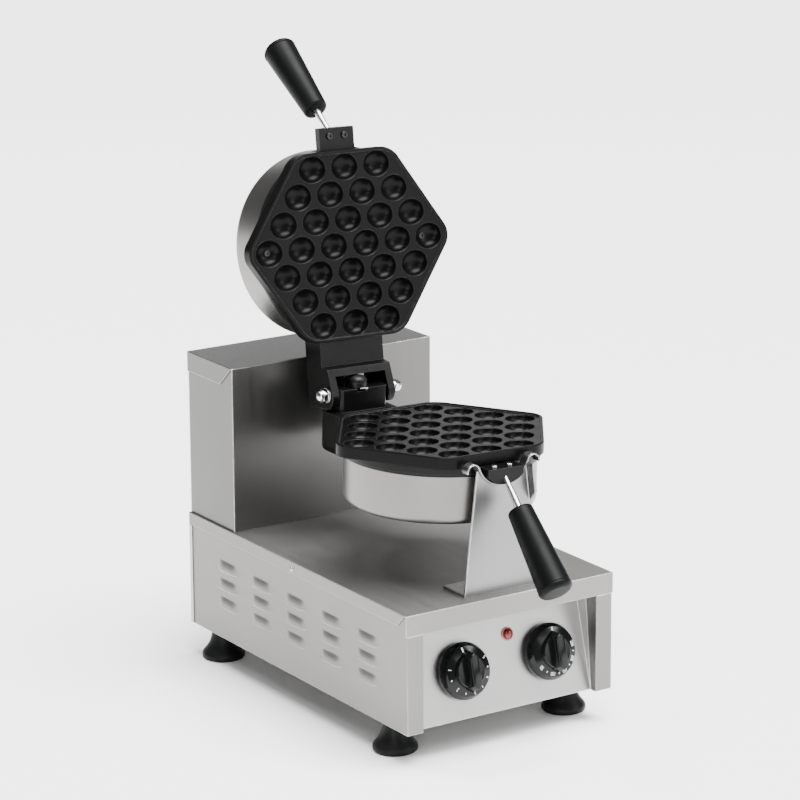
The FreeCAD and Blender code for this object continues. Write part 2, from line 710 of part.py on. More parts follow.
def dials():
    """Two dials with a raised grip bar, their spindles and the switch bodies behind the panel."""
    for name, spot in DIALS.items():
        station = f"{STATION_BASE} * {panel_frame(spot, 'DialUp')}"
        skirt = lathe(
            f"Skirt_{name}",
            "z",
            [
                ("SpindleDiameter / 2", "DialLift"),
                ("DialDiameter / 2 - DialBevel", "DialLift"),
                ("DialDiameter / 2", "DialLift + DialBevel"),
                ("DialDiameter / 2", "DialLift + DialRimHeight"),
                ("DialShoulderDiameter / 2", "DialLift + DialRimHeight + DialShoulderRise"),
                ("DialHubDiameter / 2", "DialLift + DialRimHeight + DialShoulderRise"),
                ("DialHubDiameter / 2", "DialLift + DialRimHeight + DialShoulderRise + DialHubRise"),
                ("SpindleDiameter / 2", "DialLift + DialRimHeight + DialShoulderRise + DialHubRise"),
            ],
        )
        foot = "DialLift + DialRimHeight + DialShoulderRise"
        grip = [
            ("-GripBarWidth / 2", "-GripBarLength / 2 + GripBarPoint"),
            ("0", "-GripBarLength / 2"),
            ("GripBarWidth / 2", "-GripBarLength / 2 + GripBarPoint"),
            ("GripBarWidth / 2", "GripBarLength / 2 - GripBarPoint"),
            ("0", "GripBarLength / 2"),
            ("-GripBarWidth / 2", "GripBarLength / 2 - GripBarPoint"),
        ]
        bar = prism(f"GripBar_{name}", "XY", grip, (foot, f"{foot} + GripBarHeight"))
        socket = round_bar(f"DialSocket_{name}", "z", CENTRE, "SpindleDiameter / 2", (foot, "SpindleTop"))
        knob = cut(f"Dial_{name}", fuse(f"DialSolid_{name}", skirt, bar), socket)
        node(f"{name}_knob", station, knob)
        reach = ("-SheetWall - SpindleDepth", "SpindleTop")
        spindle = round_bar(f"Spindle_{name}", "z", CENTRE, "SpindleDiameter / 2", reach)
        node(f"{name}_spindle", station, spindle)
        half_width, half_height = "SwitchWidth / 2", "SwitchHeight / 2"
        block = box(
            f"Switch_{name}",
            (f"-{half_width}", half_width),
            (f"-{half_height}", half_height),
            ("-SheetWall - SwitchDepth", "-SheetWall"),
        )
        bore_span = ("-SheetWall - SpindleDepth - PanelGap", "Overrun")
        bore = round_bar(f"SwitchBore_{name}", "z", CENTRE, "SpindleDiameter / 2 + SpindleFit", bore_span)
        node(f"{name}_body", station, cut(f"SwitchDone_{name}", block, bore))


def lamp():
    """Indicator lamp: a domed lens in front of the panel and its body behind it."""
    station = f"{STATION_BASE} * {panel_frame('LampSide', 'LampUp')}"
    lens = lathe(
        "LampLens",
        "z",
        [
            ("0", "0"),
            ("LampDiameter / 2", "0"),
            ("LampDiameter / 2", "LampFlangeHeight"),
            ("LampDomeDiameter / 2", "LampFlangeHeight"),
            ("LampDomeDiameter / 3", "LampFlangeHeight + LampDomeHeight / 2"),
            ("LampDomeDiameter / 6", "LampFlangeHeight + LampDomeHeight"),
            ("0", "LampFlangeHeight + LampDomeHeight"),
        ],
    )
    node("indicator_lamp_lens", station, lens)
    body = round_bar("LampBody", "z", CENTRE, "LampBodyDiameter / 2", ("-LampBodyLength", "0"))
    node("indicator_lamp_body", station, body)


def tower():
    """Rear tower: a folded hood over two side walls and a rear wall."""
    full = ("-TowerHalf", "TowerHalf")
    front = box("HoodFront", full, ("TowerFront", "TowerFront + SheetWall"), ("BaseTop", "TowerTop"))
    roof = box("HoodRoof", full, ("TowerFront", "BaseDepth"), ("TowerTop - SheetWall", "TowerTop"))
    rear = box("HoodRear", full, ("BaseDepth - SheetWall", "BaseDepth"), ("TowerTop - TowerFlap", "TowerTop"))
    flap = [
        ("TowerFront + TowerFlapStart", "TowerTop - SheetWall"),
        ("TowerFront + TowerFlapStart + TowerFlapRun", "TowerTop - TowerFlap"),
        ("BaseDepth", "TowerTop - TowerFlap"),
        ("BaseDepth", "TowerTop - SheetWall"),
    ]
    flaps = [
        prism(f"HoodFlap{side}", "YZ", flap, across(sign, "TowerHalf - SheetWall", "TowerHalf"))
        for side, sign in SIDES
    ]
    hood = fuse("HoodFolded", front, roof, rear, *flaps)
    through = ("TowerFront - Overrun", "TowerFront + SheetWall + Overrun")
    hole = round_bar("HoodHole", "y", ("0", "AxisHeight"), "BushDiameter / 2", through)
    node("tower_hood", STATION_BASE, cut("HoodDone", hood, hole))
    run = ("TowerFront + SheetWall", "BaseDepth - SheetWall")
    for side, sign in SIDES:
        levels = ("BaseTop", "TowerTop - SheetWall")
        width = across(sign, "TowerHalf - 2 * SheetWall", "TowerHalf - SheetWall")
        wall = box(f"TowerWall{side}", width, run, levels)
        foot_width = across(sign, "TowerHalf - 2 * SheetWall - TowerFoot", "TowerHalf - SheetWall")
        foot = box(f"TowerFoot{side}", foot_width, run, ("BaseTop", "BaseTop + SheetWall"))
        node(f"tower_side_{side}", STATION_BASE, fuse(f"TowerSide{side}", wall, foot))
    inner = "TowerHalf - SheetWall"
    back = ("BaseDepth - SheetWall", "BaseDepth")
    rear_wall = box("TowerRear", (f"-({inner})", inner), back, ("BaseTop", "TowerTop - TowerFlap"))
    node("tower_rear_panel", STATION_BASE, rear_wall)


def bearings():
    """Two upright plates inside the tower with flanged bushes for the hollow shaft."""
    behind = ("FrontBearing + BearingPlateThickness", "FrontBearing + BearingPlateFoot")
    before = ("RearBearing - BearingPlateFoot", "RearBearing")
    for name, start, foot_run in (("front", "FrontBearing", behind), ("rear", "RearBearing", before)):
        half, crown = "BearingPlateWidth / 2", "AxisHeight + BearingPlateTop"
        plate_outline = [
            (f"-{half}", "BaseTop"),
            (half, "BaseTop"),
            (half, "BaseTop + BearingPlateFoot"),
            ("BearingPlateTop", crown),
            ("-BearingPlateTop", crown),
            (f"-{half}", "BaseTop + BearingPlateFoot"),
        ]
        span = (start, f"{start} + BearingPlateThickness")
        plate = prism(f"Bearing_{name}", "XZ", plate_outline, span)
        levels = ("BaseTop", "BaseTop + BearingPlateThickness")
        foot = box(f"BearingFoot_{name}", (f"-{half}", half), foot_run, levels)
        hole_span = (f"{start} - Overrun", f"{start} + BearingPlateThickness + Overrun")
        hole = round_bar(f"BearingHole_{name}", "y", ("0", "AxisHeight"), "BushDiameter / 2", hole_span)
        solid = fuse(f"BearingBody_{name}", plate, foot)
        node(f"{name}_bearing_plate", STATION_BASE, cut(f"BearingDone_{name}", solid, hole))
        flange_end = "TowerFront" if name == "front" else start
        bush = [
            ("ShaftDiameter / 2 + RunningFit", f"{flange_end} - BushFlangeThickness"),
            ("BushFlangeDiameter / 2", f"{flange_end} - BushFlangeThickness"),
            ("BushFlangeDiameter / 2", flange_end),
            ("BushDiameter / 2", flange_end),
            ("BushDiameter / 2", f"{start} + BearingPlateThickness"),
            ("ShaftDiameter / 2 + RunningFit", f"{start} + BearingPlateThickness"),
        ]
        node(f"{name}_bush", STATION_BASE, lathe(f"Bush_{name}", "y", bush, ("0", "AxisHeight")))


def cradle():
    """Front support: an upright plate with a foot, and a bent strip in its saddle."""
    crown = "AxisHeight - CradleTopDrop"
    back = "CradleInset + CradleThickness"
    plate_outline = [
        ("-CradleFootHalfWidth", "BaseTop"),
        ("CradleFootHalfWidth", "BaseTop"),
        ("CradleTopHalfWidth", crown),
        ("-CradleTopHalfWidth", crown),
    ]
    plate = prism("CradlePlate", "XZ", plate_outline, ("CradleInset", back))
    width = ("-CradleFootHalfWidth", "CradleFootHalfWidth")
    levels = ("BaseTop", "BaseTop + CradleThickness")
    foot = box("CradleFoot", width, ("CradleInset", "CradleInset + CradleFlange"), levels)
    lean = "atan((CradleFootHalfWidth - CradleTopHalfWidth) / (AxisAboveTop - CradleTopDrop))"
    wing_outline = [
        ("CradleInset + CradleThickness", "0"),
        ("CradleInset - WingDepth", "0"),
        ("CradleInset - WingDepth", "WingDepth - WingDrop"),
        ("CradleInset", "-WingDrop"),
        ("CradleInset + CradleThickness", "-WingDrop"),
    ]
    wing = prism("CradleWing", "YZ", wing_outline, ("-CradleThickness", "0"))
    place(wing, ("CradleTopHalfWidth", "0", crown), f"rotation(vector(0; 1; 0); -{lean})")
    saddle_span = ("CradleInset - WingDepth - Overrun", f"{back} + Overrun")
    saddle = round_bar("CradleSaddle", "y", ("0", "AxisHeight"), "SaddleRadius + StripThickness", saddle_span)
    holes = []
    screws = []
    for side, sign in SIDES:
        spot = (f"{sign}CradleScrewSide", "CradleInset + CradleFlange - CradleScrewInset")
        drill = ("BaseTop - Overrun", "BaseTop + CradleThickness + Overrun")
        holes.append(round_bar(f"CradleHole{side}", "z", spot, "ScrewDiameter / 2", drill))
        screws.append(screw(f"CradleScrew{side}", "z", spot, levels, up=True))
    solid = fuse("CradleFolded", plate, foot, wing)
    node("cradle_plate", STATION_BASE, cut("CradleDone", solid, saddle, *holes))
    node("cradle_screws", STATION_BASE, *screws)
    node("cradle_strip", STATION_BASE, cradle_strip())


def cradle_strip():
    """Bent strip that lines the saddle and curls outwards over both horns."""
    turn = "SaddleHalfAngle"

    def at(radius_from_axis, along, left=0):
        x = f"({radius_from_axis}) * sin({turn}) + ({along}) * cos({turn})"
        z = f"AxisHeight - ({radius_from_axis}) * cos({turn}) + ({along}) * sin({turn})"
        return (f"-({x})" if left else x, z)

    def tip(radius, left=0):
        reach = "SaddleRadius + StripThickness / 2 + HornRadius"
        swing = f"({turn} - HornTurnAngle)"
        x, z = at(reach, "HornStraight")
        x = f"{x} - ({radius}) * sin({swing})"
        z = f"{z} + ({radius}) * cos({swing})"
        return (f"-({x})" if left else x, z)

    inner, outer = "SaddleRadius", "SaddleRadius + StripThickness"
    wide, narrow = "HornRadius + StripThickness / 2", "HornRadius - StripThickness / 2"
    points = [
        at(inner, "0", 1),
        (*at(inner, "0"), inner),
        at(inner, "HornStraight"),
        (*tip(wide), f"-({wide})"),
        tip(narrow),
        (*at(outer, "HornStraight"), narrow),
        at(outer, "0"),
        (*at(outer, "0", 1), f"-({outer})"),
        at(outer, "HornStraight", 1),
        (*tip(narrow, 1), narrow),
        tip(wide, 1),
        (*at(inner, "HornStraight", 1), f"-({wide})"),
    ]
    return prism("CradleStrip", "XZ", points, ("StripInset", "StripInset + StripDepth"))


def screw(name, axis, spot, grip, up, head="ScrewHeadDiameter", shank="ScrewDiameter"):
    """Plain screw: a shank through the given span and a tapered head at one end."""
    low, high = grip
    body = round_bar(f"{name}Shank", axis, spot, f"{shank} / 2", grip)
    radii = (f"{head} / 2", f"{head} / 3")
    span = (high, f"{high} + ScrewHeadHeight") if up else (f"{low} - ScrewHeadHeight", low)
    first, last = radii if up else radii[::-1]
    return fuse(name, body, round_bar(f"{name}Head", axis, spot, first, span, end_radius=last))


def small_fittings():
    """Rivets of the cover, the gland for the mains lead and the terminal block."""
    rivets = []
    for side, sign in SIDES:
        spot = ("RivetInset", "BaseTop - RivetDrop")
        span = across(sign, "HalfWidth", "HalfWidth + RivetRise")
        rivets.append(round_bar(f"Rivet{side}", "x", spot, "RivetDiameter / 2", span))
    node("cover_screws", STATION_BASE, *rivets)
    gland = [
        ("GlandBore / 2", "BaseDepth - SheetWall - GlandTail"),
        ("GlandDiameter / 2", "BaseDepth - SheetWall - GlandTail"),
        ("GlandDiameter / 2", "BaseDepth"),
        ("GlandFlange / 2", "BaseDepth"),
        ("GlandFlange / 2", "BaseDepth + GlandLength / 2"),
        ("GlandDiameter / 2", "BaseDepth + GlandLength"),
        ("GlandBore / 2", "BaseDepth + GlandLength"),
    ]
    node("cable_gland", STATION_BASE, lathe("Gland", "y", gland, GLAND_CENTRE))
    floor = "FootHeight + SheetWall"
    block = box(
        "Terminal",
        ("GlandSide - TerminalLength", "GlandSide"),
        ("BaseDepth - TerminalInset - TerminalWidth", "BaseDepth - TerminalInset"),
        (floor, f"{floor} + TerminalHeight"),
    )
    node("terminal_block", STATION_BASE, block)


def handle_frame(under):
    """Frame of one handle: its origin at the lug and its Z along the grip."""
    turn = "90 + HandleAngle" if under else "90 - HandleAngle"
    height = f"{under}HandleReachDrop"
    return f"placement(vector(0; HandleReachInset; {height}); rotation(vector(1; 0; 0); {turn}))"


def mould_outline(inset):
    """Hexagon of the mould plate, drawn in by one distance on every side."""
    half_length = f"HexHalfLength - ({inset}) * HexSlant / HexHalfDepth"
    half_flat = f"HexHalfFlat - ({inset}) * (HexSlant - HexHalfLength + HexHalfFlat) / HexHalfDepth"
    half_depth = f"HexHalfDepth - ({inset})"
    front, rear = f"PanCentreInset - ({half_depth})", f"PanCentreInset + {half_depth}"
    return [
        (half_length, "PanCentreInset"),
        (half_flat, rear),
        (f"-({half_flat})", rear),
        (f"-({half_length})", "PanCentreInset"),
        (f"-({half_flat})", front),
        (half_flat, front),
    ]


def cavities(name, under):
    """Oval cavities in seven rows, each turned from a profile about an axis along X."""
    mouth, depth = number("CavityWidth") / 2, number("CavityDepth")
    radius = (mouth ** 2 + depth ** 2) / (2 * depth)
    rise = radius - depth
    half = number("CavityLength") / 2
    edge = [(half * along, rise + depth * out) for along, out in CAVITY_SHARES]
    edge = [(-half, 0)] + edge + [(half, 0)]
    wire = Part.makePolygon([FreeCAD.Vector(along, aside, 0) for along, aside in edge + edge[:1]])
    hollow = Part.Face(wire).revolve(FreeCAD.Vector(), FreeCAD.Vector(1, 0, 0), FULL_TURN)
    level = number("FaceGap + RimHeight") - rise
    copies = []
    for row_index, count in enumerate(CAVITY_ROWS):
        along = number("PanCentreInset") + (row_index - (len(CAVITY_ROWS) - 1) / 2) * number("RowPitch")
        for index in range(count):
            copy = hollow.copy()
            aside = (index - (count - 1) / 2) * number("CavityPitch")
            copy.translate(FreeCAD.Vector(aside, along, -level if under else level))
            copies.append(copy)
    grid = doc.addObject("Part::Feature", name)
    grid.Shape = Part.makeCompound(copies)
    return grid


def mould(label, station, under):
    """Mould plate with a raised rim, thirty cavities and two screws in its end cavities."""
    plate = prism(f"Plate_{label}", "XY", mould_outline("0"), across(under, "FaceGap", "CarrierFace"))
    round_edges(plate, f"PlateCorners_{label}", "HexCorner", lambda edge: runs_along(edge, UPRIGHT))
    levels = across(under, "FaceGap - Overrun", "FaceGap + RimHeight")
    field = prism(f"Field_{label}", "XY", mould_outline("RimWidth"), levels)
    corner = "HexCorner - RimWidth"
    round_edges(field, f"FieldCorners_{label}", corner, lambda edge: runs_along(edge, UPRIGHT))
    top = "FaceGap + RimHeight + CavityDepth - MouldScrewRise"
    screws, holes = [], []
    for side, sign in SIDES:
        spot = (f"{sign}MouldScrewSide", "PanCentreInset")
        for name, found, end in (("Screw", screws, "CarrierBack"), ("Hole", holes, "CarrierFace + Overrun")):
            span = across(under, top, end)
            found.append(round_bar(f"Mould{name}_{label}{side}", "z", spot, "MouldScrewDiameter / 2", span))
    hollows = cavities(f"Cavities_{label}", under)
    node(f"{label}_mould_plate", station, cut(f"Mould_{label}", plate, field, hollows, *holes))
    node(f"{label}_mould_screws", station, *screws)


def carrier_common(label, under):
    """Disc and front lug that both carriers share, with the tools that cut them."""
    centre = ("0", "PanCentreInset")
    thickness = across(under, "CarrierFace", "CarrierBack")
    disc = round_bar(f"Disc_{label}", "z", centre, "DiscDiameter / 2", thickness)
    inset = "LowerLugInset" if under else "UpperLugInset"
    lug_block = box(
        f"LugBlock_{label}",
        ("-LugHalfWidth", "LugHalfWidth"),
        (inset, "PanCentreInset - HexHalfDepth + LugRoot"),
        across(under, "CarrierFace", "JournalDiameter / 2"),
    )
    lug_round = round_bar(
        f"LugRound_{label}",
        "y",
        CENTRE,
        "JournalDiameter / 2",
        (f"{inset} - Overrun", "PanCentreInset - HexHalfDepth + LugRoot + Overrun"),
    )
    lug = common(f"Lug_{label}", lug_block, lug_round)
    drum_room = round_bar(
        f"DrumRoom_{label}",
        "z",
        centre,
        "DrumDiameter / 2 + DrumClearance",
        across(under, "CarrierBack", "DrumEnd + Overrun"),
    )
    rod_hole = round_bar(
        f"RodHole_{label}",
        "z",
        CENTRE,
        "RodStartDiameter / 2 + RodFit",
        ("-RodRoot", "RodLength"),
        f"{handle_frame(under)} * ",
    )
    bolt_holes = []
    for side, sign in SIDES:
        spot = (f"{sign}MouldScrewSide", "PanCentreInset")
        drill = across(under, "CarrierFace - Overrun", "CarrierBack + Overrun")
        bolt_holes.append(round_bar(f"CarrierHole_{label}{side}", "z", spot, "MouldScrewDiameter / 2", drill))
    return disc, lug, [drum_room, rod_hole, *bolt_holes]


def pin_hole(name, reach, fit):
    """Bore for the hinge pin."""
    return round_bar(name, "x", ("PinInset", "PinLift"), f"PinDiameter / 2 + {fit}", (f"-({reach})", reach))


def lower_carrier():
    """Lower casting: disc, lug, rear bracket with its hinge knuckle and the hub of the shaft."""
    disc, lug, tools = carrier_common("lower", "-")
    bracket = prism(
        "LowerBracket",
        "XZ",
        [
            ("-BracketHalfWidth", "-CarrierFace"),
            ("-BracketHalfWidth", "-BracketDrop + BracketCorner"),
            ("-BracketHalfWidth + BracketCorner", "-BracketDrop", "BracketCorner"),
            ("BracketHalfWidth - BracketCorner", "-BracketDrop"),
            ("BracketHalfWidth", "-BracketDrop + BracketCorner", "BracketCorner"),
            ("BracketHalfWidth", "-CarrierFace"),
        ],
        ("BracketStart", "BracketRearInset"),
    )
    knuckle = prism(
        "LowerKnuckle",
        "XY",
        [
            ("-KnuckleHalfWidth", "BracketRearInset"),
            ("-KnuckleHalfWidth", "KnuckleFrontInset + KnuckleBevel"),
            ("-KnuckleHalfWidth + KnuckleBevel", "KnuckleFrontInset"),
            ("KnuckleHalfWidth - KnuckleBevel", "KnuckleFrontInset"),
            ("KnuckleHalfWidth", "KnuckleFrontInset + KnuckleBevel"),
            ("KnuckleHalfWidth", "BracketRearInset"),
        ],
        ("-CarrierFace - Overrun", "KnuckleTop"),
    )
    hub_run = ("BracketRearInset - HubOverlap", "HubRearInset")
    hub = round_bar("ShaftHub", "y", CENTRE, "HubDiameter / 2", hub_run)
    socket_run = ("BracketRearInset", "HubRearInset + Overrun")
    socket = round_bar("ShaftSocket", "y", CENTRE, "ShaftDiameter / 2", socket_run)
    notch = box(
        "KnuckleNotch",
        ("-LeadShift - NotchHalfWidth", "-LeadShift + NotchHalfWidth"),
        ("KnuckleFrontInset - Overrun", "PinInset + PinDiameter / 2"),
        ("KnuckleTop - NotchDepth", "KnuckleTop + Overrun"),
    )
    solid = fuse("LowerCasting", disc, lug, bracket, knuckle, hub)
    tools += [socket, notch, pin_hole("KnucklePinHole", "BracketHalfWidth", "0")]
    node("lower_carrier", STATION_PANS, cut("LowerCarrierDone", solid, *tools))


def upper_carrier():
    """Upper casting: disc, lug and a rear bracket that ends in two ears round the knuckle."""
    disc, lug, tools = carrier_common("upper", "")
    bracket = prism(
        "UpperBracket",
        "YZ",
        [
            ("BracketStart", "CarrierFace"),
            ("EarStepInset - EarStepRun", "CarrierFace"),
            ("EarStepInset", "EarStepFace"),
            ("PinInset", "EarFace"),
            ("EarEndInset", "EarFace + EarCorner", "EarEndInset - PinInset"),
            ("EarEndInset", "UpperBracketRise"),
            ("BracketStart", "UpperBracketRise"),
        ],
        ("-BracketHalfWidth", "BracketHalfWidth"),
    )
    inner = "BracketHalfWidth - EarThickness"
    slot = box(
        "EarSlot",
        (f"-({inner})", inner),
        ("WebEndInset", "EarEndInset + Overrun"),
        ("EarFace - Overrun", "UpperBracketRise + Overrun"),
    )
    pocket = box(
        "BracketPocket",
        (f"-({inner})", inner),
        ("BracketStart + PocketInset", "WebEndInset + Overrun"),
        ("CarrierFace + WebThickness", "UpperBracketRise + Overrun"),
    )
    solid = fuse("UpperCasting", disc, lug, bracket)
    tools += [slot, pocket, pin_hole("EarPinHole", "BracketHalfWidth + Overrun", "PinFit")]
    node("upper_carrier", STATION_LID, cut("UpperCarrierDone", solid, *tools))


def drum(label, station, under):
    """Round cover with a heater ring, insulation and the bolt that holds it to the carrier."""
    centre = ("0", "PanCentreInset")

    def level(height):
        return f"{under}({height})"

    outer, wall = "DrumDiameter / 2", "DrumWall"
    bend = "DrumCorner" if under else "-DrumCorner"
    profile = [
        ("DrumBoltDiameter / 2", level("DrumEnd")),
        (f"{outer} - DrumCorner", level("DrumEnd")),
        (outer, level("DrumEnd - DrumCorner"), bend),
        (outer, level("CarrierBack")),
        (f"{outer} - {wall}", level("CarrierBack")),
        (f"{outer} - {wall}", level("DrumEnd - DrumCorner")),
        (f"{outer} - DrumCorner", level(f"DrumEnd - {wall}")),
        ("DrumBoltDiameter / 2", level(f"DrumEnd - {wall}")),
    ]
    node(f"{label}_drum_cover", station, lathe(f"Drum_{label}", "z", profile, centre))
    ring = [
        ("HeaterRadius - HeaterWidth / 2", level("CarrierBack")),
        ("HeaterRadius + HeaterWidth / 2", level("CarrierBack")),
        ("HeaterRadius + HeaterWidth / 2", level("CarrierBack + HeaterHeight")),
        ("HeaterRadius - HeaterWidth / 2", level("CarrierBack + HeaterHeight")),
    ]
    node(f"{label}_heater", station, lathe(f"Heater_{label}", "z", ring, centre))
    padding = [
        ("DrumBoltDiameter / 2", level("CarrierBack + HeaterHeight")),
        (f"{outer} - {wall} - PadClearance", level("CarrierBack + HeaterHeight")),
        (f"{outer} - {wall} - PadClearance", level("DrumEnd - DrumCorner - PadClearance")),
        (f"{outer} - DrumCorner", level(f"DrumEnd - {wall} - PadClearance")),
        ("DrumBoltDiameter / 2", level(f"DrumEnd - {wall} - PadClearance")),
    ]
    node(f"{label}_insulation", station, lathe(f"Padding_{label}", "z", padding, centre))
    span = across(under, "CarrierBack", "DrumEnd")
    bolt = screw(f"DrumBolt_{label}", "z", centre, span, not under, "DrumBoltHead", "DrumBoltDiameter")
    node(f"{label}_drum_bolt", station, bolt)


def handle(label, station, under):
    """Steel rod from the lug and a tapered grip pushed over its end."""
    frame = f"{station} * {handle_frame(under)}"
    bar = lathe(
        f"Rod_{label}",
        "z",
        [
            ("0", "-RodRoot"),
            ("RodStartDiameter / 2", "-RodRoot"),
            ("RodStartDiameter / 2", "RodTaperStart"),
            ("RodEndDiameter / 2", "RodLength"),
            ("RodEndDiameter / 2", "RodLength + GripSocket"),
            ("0", "RodLength + GripSocket"),
        ],
    )
    node(f"{label}_handle_rod", frame, bar)
    end = "RodLength + GripLength"
    grip = lathe(
        f"Grip_{label}",
        "z",
        [
            ("0", "RodLength + GripSocket"),
            ("RodEndDiameter / 2", "RodLength + GripSocket"),
            ("RodEndDiameter / 2", "RodLength"),
            ("GripStartDiameter / 2", "RodLength"),
            ("GripEndDiameter / 2", f"{end} - GripCap"),
            ("GripEndDiameter / 2", f"{end} - GripCorner"),
            ("GripEndDiameter / 2 - GripCorner", end, "GripCorner"),
            ("0", end),
        ],
    )
    node(f"{label}_handle_grip", frame, grip)


def lug_screws(label, station, under):
    """Two screws that hold the handle end of a carrier."""
    screws = []
    for side, sign in SIDES:
        lug_inset = "LowerLugInset" if under else "UpperLugInset"
        spot = (f"{sign}LugScrewSide", f"{lug_inset} + LugScrewInset")
        face = "-CarrierFace" if under else "CarrierFace"
        span = (face, f"{face} + LugScrewRise") if under else (f"{face} - LugScrewRise", face)
        wide, slim = "LugScrewHead / 2", "LugScrewHead / 3"
        radii = (wide, slim) if under else (slim, wide)
        screws.append(round_bar(f"LugScrew_{label}{side}", "z", spot, radii[0], span, end_radius=radii[1]))
    node(f"{label}_lug_screws", station, *screws)


def hinge():
    """Hinge pin with a washer and an acorn nut at each end."""
    line = ("PinInset", "PinLift")
    pin = round_bar("HingePin", "x", line, "PinDiameter / 2", ("-PinEnd", "PinEnd"))
    node("hinge_pin", STATION_PANS, pin)
    washers, nuts = [], []
    start = "BracketHalfWidth + WasherGap"
    for side, sign in SIDES:
        reach = f"{start} + WasherThickness"
        ring = round_bar(f"Washer{side}", "x", line, "WasherDiameter / 2", across(sign, start, reach))
        through = across(sign, f"{start} - Overrun", f"{reach} + Overrun")
        bore = round_bar(f"WasherBore{side}", "x", line, "PinDiameter / 2", through)
        washers.append(cut(f"WasherDone{side}", ring, bore))
        nuts.append(acorn_nut(f"Nut{side}", line, sign, reach))
    node("hinge_washers", STATION_PANS, *washers)
    node("hinge_nuts", STATION_PANS, *nuts)


def acorn_nut(name, line, sign, start):
    """Hexagon nut with a domed cap, its thread filled by the end of the pin."""
    corner, flat = "NutAcross / 2 / cos(30)", "NutAcross / 2"
    y, z = line
    hexagon = [
        (f"{y} + {corner}", z),
        (f"{y} + ({corner}) / 2", f"{z} + {flat}"),
        (f"{y} - ({corner}) / 2", f"{z} + {flat}"),
        (f"{y} - {corner}", z),
        (f"{y} - ({corner}) / 2", f"{z} - {flat}"),
        (f"{y} + ({corner}) / 2", f"{z} - {flat}"),
    ]
    block = prism(f"{name}Hex", "YZ", hexagon, across(sign, start, f"{start} + NutHeight"))
    dome_span = across(sign, f"{start} + NutHeight", f"{start} + NutHeight + NutDome")
    radii = (flat, f"{flat} / 2")
    first, last = radii[::-1] if sign else radii
    dome = round_bar(f"{name}Dome", "x", line, first, dome_span, end_radius=last)
    threaded = across(sign, f"{start} - Overrun", "PinEnd")
    thread = round_bar(f"{name}Thread", "x", line, "PinDiameter / 2", threaded)
    return cut(name, fuse(f"{name}Solid", block, dome), thread)


def shaft():
    """Hollow roll shaft from the hub through both bushes, with a collar behind the rear one."""
    end = "RearBearing + BearingPlateThickness + CollarGap + CollarLength + ShaftTail"
    tube = [
        ("ShaftBore / 2", "BracketRearInset"),
        ("ShaftDiameter / 2", "BracketRearInset"),
        ("ShaftDiameter / 2", end),
        ("ShaftBore / 2", end),
    ]
    node("roll_shaft", STATION_PANS, lathe("RollShaft", "y", tube))
    begin = "RearBearing + BearingPlateThickness + CollarGap"
    ring = [
        ("ShaftDiameter / 2", begin),
        ("CollarDiameter / 2", begin),
        ("CollarDiameter / 2", f"{begin} + CollarLength"),
        ("ShaftDiameter / 2", f"{begin} + CollarLength"),
    ]
    node("shaft_collar", STATION_PANS, lathe("ShaftCollar", "y", ring))
    sleeve = [
        ("LeadBore / 2", "KnuckleTop"),
        ("LeadBushDiameter / 2", "KnuckleTop"),
        ("LeadBushDiameter / 2", "LeadBushTop"),
        ("LeadBore / 2", "LeadBushTop"),
    ]
    node("lead_bush", STATION_PANS, lathe("LeadBush", "z", sleeve, ("-LeadShift", "LeadInset")))


top_cover()
side_panels()
rear_panel()
bottom_tray()
feet()
control_panel()
dials()
lamp()
tower()
bearings()
cradle()
small_fittings()
shaft()
hinge()
lower_carrier()
upper_carrier()
for label, station, under in (("lower", STATION_PANS, "-"), ("upper", STATION_LID, "")):
    mould(label, station, under)
    drum(label, station, under)
    handle(label, station, under)
    lug_screws(label, station, under)

doc.recompute()

broken = [item.Name for item in doc.Objects if "Invalid" in item.State or "Error" in item.State]
if broken:
    raise RuntimeError(f"These objects failed: {broken}")
for item in NODES:
    if item.Shape.isNull() or not item.Shape.isValid() or not item.Shape.Solids:
        raise RuntimeError(f"{item.Label} has no valid shape")

os.makedirs("parts", exist_ok=True)
for item in NODES:
    item.Shape.exportStep(os.path.join("parts", f"{item.Label}.step"))
print(f"{len(NODES)} pieces")
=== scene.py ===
"""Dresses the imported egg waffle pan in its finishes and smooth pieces, on a pale studio floor."""
import logging
import math
from dataclasses import dataclass
from enum import Enum
from typing import Callable, Iterable, Optional, Sequence, Union

import bmesh
import bpy
from mathutils import Matrix, Vector


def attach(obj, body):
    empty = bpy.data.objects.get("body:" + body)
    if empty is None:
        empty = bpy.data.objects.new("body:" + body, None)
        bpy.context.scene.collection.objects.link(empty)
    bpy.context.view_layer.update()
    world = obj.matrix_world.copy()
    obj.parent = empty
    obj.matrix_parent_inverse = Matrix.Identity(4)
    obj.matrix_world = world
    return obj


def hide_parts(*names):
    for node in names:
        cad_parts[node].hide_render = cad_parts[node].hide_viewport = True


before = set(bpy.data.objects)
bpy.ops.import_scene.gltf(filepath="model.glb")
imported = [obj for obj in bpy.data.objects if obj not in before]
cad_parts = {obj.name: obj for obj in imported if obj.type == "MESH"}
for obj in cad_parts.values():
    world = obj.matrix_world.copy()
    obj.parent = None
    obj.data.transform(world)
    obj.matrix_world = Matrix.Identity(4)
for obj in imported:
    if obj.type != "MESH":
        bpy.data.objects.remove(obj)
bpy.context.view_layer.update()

MM = 0.001
LOG = logging.getLogger("egg_waffle_pan")
TOUCH = 0.01
WELD = 0.001
NODE_WELD = 0.002
NOISE_LOW = 0.3
NOISE_HIGH = 0.7
UPSIDE_DOWN = Matrix.Rotation(math.pi, 4, "Y")
Colour = tuple[float, float, float]
Place = tuple[float, float, float]
Point = tuple[float, float]
Socket = bpy.types.NodeSocket
Item = Union[bmesh.types.BMVert, bmesh.types.BMEdge, bmesh.types.BMFace]


def at(across: float, inset: float, level: float) -> Matrix:
    """Shift to a point of a frame."""
    return Matrix.Translation((across, inset, level))


